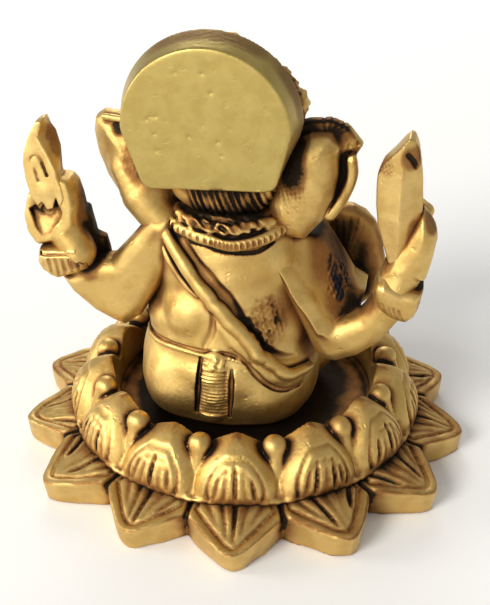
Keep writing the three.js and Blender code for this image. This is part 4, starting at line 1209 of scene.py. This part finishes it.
def ear(name):
    """A broad ear. Its back swells towards the neck, and its front has a rolled rim and a hollow."""
    side = SIDES[name]
    clay = room_for(f"ear_{name}", 3, [1, 1.5, 3], [1, 6, 1])
    x, y, z = clay.everywhere()
    out = side * (x - ORIGIN[0])
    up = z - ORIGIN[2]
    edge = outline_distance(EARS[name], out, up)
    bend = 2.0 - 0.014 * (out - 8) ** 2
    inside = np.maximum(-edge, 0)
    puff = {"left": 3.4, "right": 1.2}[name] * (1 - np.exp(-inside / 3.2))
    blade = soft_max(edge * 0.9, (y - bend - 0.9 - puff) * 0.85, 0.6)
    clay.d = soft_max(blade, bend - 1.1 - y, 0.6).astype(np.float32)

    def spot(across, y_at, height):
        return fig(side * across, y_at, height)

    def spots(*places):
        return [spot(*place) for place in places]

    if name == "left":
        clay.tube(spots((16.6, 3.4, 41.0), (13.6, 4.2, 37.0), (10.4, 4.8, 33.6)), [1.9, 3.2, 3.2], 2.0)
        clay.tube(spots((12, 4.0, 49.2), (16, 3.2, 49.0), (19.6, 2.2, 48.8)), [0.7, 0.6, 0.5], 0.6)
        clay.egg(spot(17.4, 4.6, 47.4), (1.6, 1.4, 0.8), soft=0.4, carve=True)
        clay.grit(0.05, 0.6, 51, spot(14.8, 5.0, 45.0), (3, 4, 5))
        clay.mark_stain_and_shade(spot(17.2, 4.2, 47.4), (1.8, 2.4, 1.5), 0.7)
        clay.mark_stain_and_shade(spot(14.4, 5.4, 43.5), (2.4, 3.4, 5), 0.3)
    else:
        pillow = [(9.0, 47.6), (12.4, 49.4), (15.6, 49.2), (16.9, 46.8), (17.0, 43.0), (16.4, 38.8),
                  (14.8, 34.8), (12.2, 31.4), (8.6, 31.4), (6.2, 34.0), (6.0, 38.0), (7.6, 42.0)]
        plate(clay, [(-u, w) for u, w in pillow], swollen(6.9, 4.2, 4.0), level(0.8), 0.5)
        rim = spots((18.6, 2.6, 44.6), (18.7, 2.6, 42.0), (17.5, 2.8, 38.4), (15.6, 3.2, 35.6))
        clay.tube(rim, 0.95, 0.5)
        hollow = spots((17.3, 3.6, 46.0), (17.5, 3.8, 42.6), (16.8, 4.4, 39.0), (15.4, 4.8, 35.8))
        clay.groove(hollow, 0.5, 0.3)
        for k in range(5):
            a = 0.6 + 0.3 * k
            clay.score(spots((15.0 + 2.0 * math.cos(a), 9, 47.8 + 1.6 * math.sin(a)),
                             (15.0 + 4.4 * math.cos(a), 9, 47.8 + 3.0 * math.sin(a))), 0.16, 0.12)
        clay.grit(0.1, 0.7, 52, spot(19.0, 3.0, 46.4), (1.8, 3, 2.4))
        clay.grit(0.06, 0.6, 53, spot(10.0, 5.6, 41.0), (3.4, 4, 6.0))
        clay.mark_stain_and_shade(spot(15.4, 2.6, 49.2), (5.6, 3, 2.8), 0.42)
        clay.mark_stain_and_shade(spot(17.6, 3.4, 41.5), (0.9, 3, 6.0), 0.3)
        clay.mark_stain_and_shade(spot(10.6, 4.6, 44.0), (2.6, 4, 6.0), 0.55)
    # The front: a hollow with ribs inside the rolled rim.
    clay.egg(spot(13.6, -0.9, 42.4), (4.4, 1.5, 5.4), (0, side * 24, 0), soft=0.8, carve=True)
    for k in range(5):
        rib = spots((9.4, 1.0, 40.6 + 0.4 * k), (13.0, 1.5, 38.6 + 1.7 * k), (17.2, 0.9, 37.6 + 2.3 * k))
        clay.tube(rib, [0.5, 0.55, 0.35], 0.4, margin=1.5)
    clay.grit(0.04, 3.2, 54 + side)
    cast(f"ear_{name}", clay, CAST)


def crown_front():
    """Three tiers before the plate with rows of beads, a knob on top and a rosette on each side."""
    low, high = corners("crown_front")
    clay = Clay(low - 0.8, high + 0.8, 3)
    middle = fig(0, 1.0, 0)
    base = low[2]
    tall = high[2] - low[2]
    front = fig(0, 6.9, 0)[1]
    levels = ((0, 8.7), (0.06, 9.3), (0.2, 9.1), (0.27, 7.5), (0.42, 7.8), (0.5, 7.0), (0.56, 5.5),
              (0.68, 5.3), (0.76, 3.9), (0.86, 2.2), (0.95, 1.2))

    def tiers(x, y, z):
        up = (z - base) / tall
        radius = np.interp(up, [a for a, _ in levels], [r for _, r in levels])
        round_it = np.hypot((x - middle[0]) / 1.16, y - middle[1])
        ribs = 0.22 * np.sin(np.arctan2(y - middle[1], x - middle[0]) * 30) * ((up > 0.27) & (up < 0.5))
        return np.maximum((round_it - radius - ribs) * 0.8, np.maximum(base - z, z - base - tall * 0.93))
    clay.add(tiers, low, high, 0.01)
    clay.egg([middle[0], middle[1], high[2] - 1.6], (1.6, 1.6, 1.6), soft=0.3)
    for share, radius, size, count in ((0.04, 9.2, 0.75, 40), (0.22, 9.1, 0.6, 46), (0.53, 6.6, 0.6, 36),
                                       (0.72, 4.8, 0.55, 28)):
        for k in range(count):
            a = 2 * math.pi * k / count
            if math.sin(a) < 0.62:
                clay.egg([middle[0] + radius * 1.16 * math.cos(a), middle[1] + radius * math.sin(a),
                          base + share * tall], (size, size, size), soft=0.15)
    for k in range(9):
        a = math.pi * (1.06 + 0.11 * k)
        point = [middle[0] + 8.9 * 1.16 * math.cos(a), middle[1] + 8.9 * math.sin(a), base + 0.13 * tall]
        clay.egg(point, (0.9, 0.9, 1.15), soft=0.2)
    for side in (-1, 1):
        knob = [middle[0] + side * 9.7, middle[1] + 1.8, base + 0.34 * tall]
        clay.egg(knob, (2.3, 2.0, 2.5), soft=0.3)
        for k in range(8):
            a = 2 * math.pi * k / 8
            clay.egg([knob[0] + 1.7 * math.cos(a), knob[1] - 0.9, knob[2] + 1.8 * math.sin(a)],
                     (0.7, 0.8, 0.7), soft=0.2)
        for k in range(6):
            a = 0.42 + 0.23 * k
            lump = [middle[0] + side * 10.4 * math.cos(a), middle[1] + 3.4,
                    base + 0.34 * tall + 8.2 * math.sin(a)]
            clay.egg(lump, (1.1 + 0.3 * (k % 2), 2.0, 1.0), (0, side * (58 - 14 * k), 0), soft=0.6)
    clay.carve(lambda x, y, z: front - y, low, high + [0, 3, 0], 0.05)
    clay.grit(0.12, 0.9, 61, [middle[0] - 8, middle[1] + 3, base + 6], (6, 5, 9))
    clay.mark_stain_and_shade([middle[0], middle[1] + 4.0, base + 6], (14, 4, 12), 0.4)
    clay.grit(0.05, 2.2, 60)
    cast("crown_front", clay, CAST)


head()
ear("left")
ear("right")
crown_front()

# ---------------------------------------------------------------- figure: front arms, sweet, legs


PALM = [(-16.2, 31.0), (-18.2, 30.9), (-20.3, 29.9), (-22.0, 28.2), (-23.0, 25.5), (-23.5, 23.2),
        (-24.0, 20.9), (-24.0, 18.4), (-22.8, 15.0), (-20.0, 12.6), (-15.4, 12.6), (-13.2, 16.0),
        (-12.2, 22.2), (-12.6, 26.9), (-14.0, 29.8)]


def front_arm_right():
    """Raised palm: the gesture that says not to fear."""
    root = shoulder(-1)
    clay = room_for("front_arm_right", 3, [2, 2, 1], 2)
    elbow = root + [-8, -10.2, -16.7]
    wrist = root + [-9.2, -14.2, -12.3]
    clay.tube([root + [1.2, -5.4, -5], root + [-5.0, -7.2, -11.4], elbow], [3.4, 3.8, 3.2], 1.0)
    clay.tube([elbow, (elbow + wrist) / 2 + [0, -0.4, 0], wrist], [3.2, 2.9, 2.35], 1.0)
    for share in (0.62, 0.9):
        ring = elbow + (wrist - elbow) * share
        clay.tube(circle_about(ring, wrist - elbow, 2.6, 20), 0.55, 0.15, smooth=0)
    plate(clay, PALM, swollen(-8.0, 1.8, 2.6), domed(-10.6, 2.6, 2.4), 0.5)
    for k, x in enumerate((-14.9, -17.6, -20.3)):
        clay.score(at_y(-20, (x, 23.6), (x - 0.1, 26.4), (x, 28.8)), 0.34, 0.6, way=(0, 1, 0))
    for k in range(7):
        clay.score(at_y(0, (-17.9 + 0.3 * k, 21.6), (-20.6 + 1.3 * k, 29.6)), 0.1, 0.06)
    clay.tube(figs((-14.4, -11.6, 18.6), (-13.2, -13.0, 21.4), (-13.4, -13.4, 24.0)), [1.5, 1.3, 1.0], 0.4)
    clay.egg(fig(-17.8, -13.4, 22.0), (1.2, 0.5, 1.2), soft=0.3, carve=True)
    clay.mark_stain_and_shade(fig(-17.6, -8.4, 22), (9, 3.4, 13), 0.36)
    clay.grit(0.05, 2.6, 70)
    cast("front_arm_right", clay, CAST)


def front_arm_left():
    """The other front hand holds a sweet before the belly."""
    root = shoulder(1)
    clay = room_for("front_arm_left", 3, [2, 2, 1], 2)
    sweet = centre("modak_sweet")
    elbow = root + [5.8, -11.2, -16.3]
    palm = np.array([sweet[0] + 0.6, sweet[1] + 0.3, corners("modak_sweet")[0][2] - 0.9])
    wrist = root + [3, -15.4, -17.2]
    clay.tube([root + [-1.2, -5.6, -5.4], root + [5.0, -7.8, -11.4], elbow], [3.4, 3.8, 3.2], 1.0)
    clay.tube([elbow, wrist, palm + [0.6, 0.6, 0]], [3.2, 2.6, 2.2], 1.0)
    clay.egg(palm, (3.7, 3.5, 1.7), soft=0.8)
    for k in range(4):
        a = math.radians(200 + 32 * k)
        start = palm + [2.6 * math.cos(a), 2.6 * math.sin(a), 0]
        clay.tube([start, palm + [3.9 * math.cos(a), 3.7 * math.sin(a), 0.9],
                   palm + [3.7 * math.cos(a), 3.5 * math.sin(a), 2.6]], [1.0, 0.95, 0.75], 0.25, margin=2)
    ring = elbow + (wrist - elbow) * 0.95
    clay.tube(circle_about(ring, wrist - elbow, 2.75, 20), 0.55, 0.15, smooth=0)
    clay.grit(0.05, 2.6, 71)
    cast("front_arm_left", clay, CAST)


def modak_sweet():
    low, high = corners("modak_sweet")
    middle = (low + high) / 2
    clay = Clay(low, high, 3)

    def drop(x, y, z):
        up = np.clip((z - low[2]) / (high[2] - low[2]), 0, 1)
        radius = np.interp(up, (0, 0.12, 0.3, 0.5, 0.7, 0.88, 1), (1.9, 2.75, 3.05, 2.75, 1.75, 0.8, 0.2))
        fold = 0.16 * np.cos(np.arctan2(y - middle[1], x - middle[0]) * 9) * np.sin(math.pi * up)
        round_it = np.hypot(x - middle[0], y - middle[1]) - radius - fold
        return soft_max(round_it * 0.8, np.maximum(low[2] - z, z - high[2]), 0.4)
    clay.add(drop, low, high, 0.01)
    cast("modak_sweet", clay, CAST)


def crossed_legs():
    low, high = corners("crossed_legs")
    clay = Clay(low - 1, high + 1, 3)
    knee = 12.64
    for side, lift, reach in ((1, 3.6, 0.0), (-1, 5.3, 1.6)):
        clay.tube(figs((side * knee * 0.5, -2.6, 5.0), (side * knee * 0.94, -6.4, 4.7),
                       (side * knee * 0.6, -10.8 - reach * 0.4, lift), (0, -12.4 - reach, lift),
                       (-side * knee * 0.34, -11.4 - reach, lift)), [4.6, 4.2, 3.3, 2.5, 2.2], 0.35)
        ankle = fig(-side * knee * 0.22, -11.9 - reach, lift)
        for shift in (0.0, 1.2):
            ring = ankle + np.array([side * shift, -0.15 * shift, 0])
            clay.tube(circle_about(ring, (1, 0.15 * side, 0), 2.5, 22), 0.55, 0.12, smooth=0)
        foot = fig(-side * knee * 0.56, -10.4 - reach, lift - 0.2)
        clay.egg(foot, (3.6, 2.1, 1.9), (0, 0, side * -16), soft=0.7)
        for k in range(5):
            toe = foot + np.array([-side * (2.9 - 0.22 * k), -1.5 + 0.85 * k, 0.1])
            clay.egg(toe, (1.15 - 0.09 * k, 0.6 - 0.03 * k, 0.75), soft=0.15)
        for k in range(6):
            a = fig(side * (knee * 0.9 - 1.3 * k), -4.2 - 1.15 * k, 14)
            b = fig(side * (knee * 1.18 - 1.3 * k), -9.6 - 0.9 * k, 14)
            clay.score([a, (a + b) / 2, b], 0.24, 0.26, way=(0, 0, -1))
    clay.carve(lambda x, y, z: z - low[2], low - [1, 1, 4],
               [high[0] + 1, high[1] + 1, low[2]], 0.05)
    clay.grit(0.05, 2.8, 80)
    cast("crossed_legs", clay, CAST)


front_arm_right()
front_arm_left()
modak_sweet()
crossed_legs()

# ---------------------------------------------------------------- wear and painted shade, floor, light, camera

mark_wear_and_shade()


def floor():
    mesh = bpy.data.meshes.new("floor")
    size = 4.0
    mesh.from_pydata([(-size, -size, 0), (size, -size, 0), (size, size, 0), (-size, size, 0)], [],
                     [(0, 1, 2, 3)])
    plane = bpy.data.objects.new("floor", mesh)
    bpy.context.scene.collection.objects.link(plane)
    material = bpy.data.materials.new("floor_paint")
    material.use_nodes = True
    shader = material.node_tree.nodes["Principled BSDF"]
    shader.inputs["Base Color"].default_value = (0.93, 0.93, 0.92, 1)
    shader.inputs["Roughness"].default_value = 0.9
    mesh.materials.append(material)


def area_light(name, place, aim, size, power, colour=(1, 1, 1)):
    data = bpy.data.lights.new(name, "AREA")
    data.shape = "DISK"
    data.size = size
    data.energy = power
    data.color = colour
    light = bpy.data.objects.new(name, data)
    light.location = place
    light.rotation_euler = (Vector(aim) - Vector(place)).to_track_quat("-Z", "Y").to_euler()
    bpy.context.scene.collection.objects.link(light)


def studio():
    scene = bpy.context.scene
    scene.view_settings.view_transform = "Standard"
    world = bpy.data.worlds.new("studio")
    scene.world = world
    world.use_nodes = True
    background = world.node_tree.nodes["Background"]
    background.inputs["Color"].default_value = (1.0, 0.985, 0.96, 1)
    background.inputs["Strength"].default_value = 0.45
    aim = (0, 0, 0.035)
    sun = bpy.data.lights.new("key", "SUN")
    sun.energy = 2.2
    sun.angle = math.radians(24)
    sun.color = (1.0, 0.98, 0.94)
    lamp = bpy.data.objects.new("key", sun)
    lamp.rotation_euler = Vector((-0.45, -0.68, -0.52)).to_track_quat("-Z", "Y").to_euler()
    scene.collection.objects.link(lamp)
    area_light("side", (0.6, 0.1, 0.2), aim, 0.25, 1.6, (1.0, 0.98, 0.95))
    area_light("back", (0.12, 0.5, 0.1), aim, 0.3, 0.4, (1.0, 0.98, 0.95))
    area_light("front", (0.15, -0.6, 0.35), aim, 0.35, 1.2)


def camera():
    """Behind and above the figure, a little to its own right."""
    data = bpy.data.cameras.new("camera")
    data.lens = 78.5
    data.sensor_width = 36
    data.clip_start = 0.01
    eye = bpy.data.objects.new("camera", data)
    distance = 6.07 * TIP_RADIUS * MM
    rise, turn, pitch = math.radians(36.05), math.radians(10), math.radians(30.7)
    eye.location = (-distance * math.sin(turn) * math.cos(rise), distance * math.cos(turn) * math.cos(rise),
                    distance * math.sin(rise))
    look = Vector((math.sin(turn) * math.cos(pitch), -math.cos(turn) * math.cos(pitch), -math.sin(pitch)))
    eye.rotation_euler = look.to_track_quat("-Z", "Y").to_euler()
    bpy.context.scene.collection.objects.link(eye)
    bpy.context.scene.camera = eye


floor()
studio()
camera()
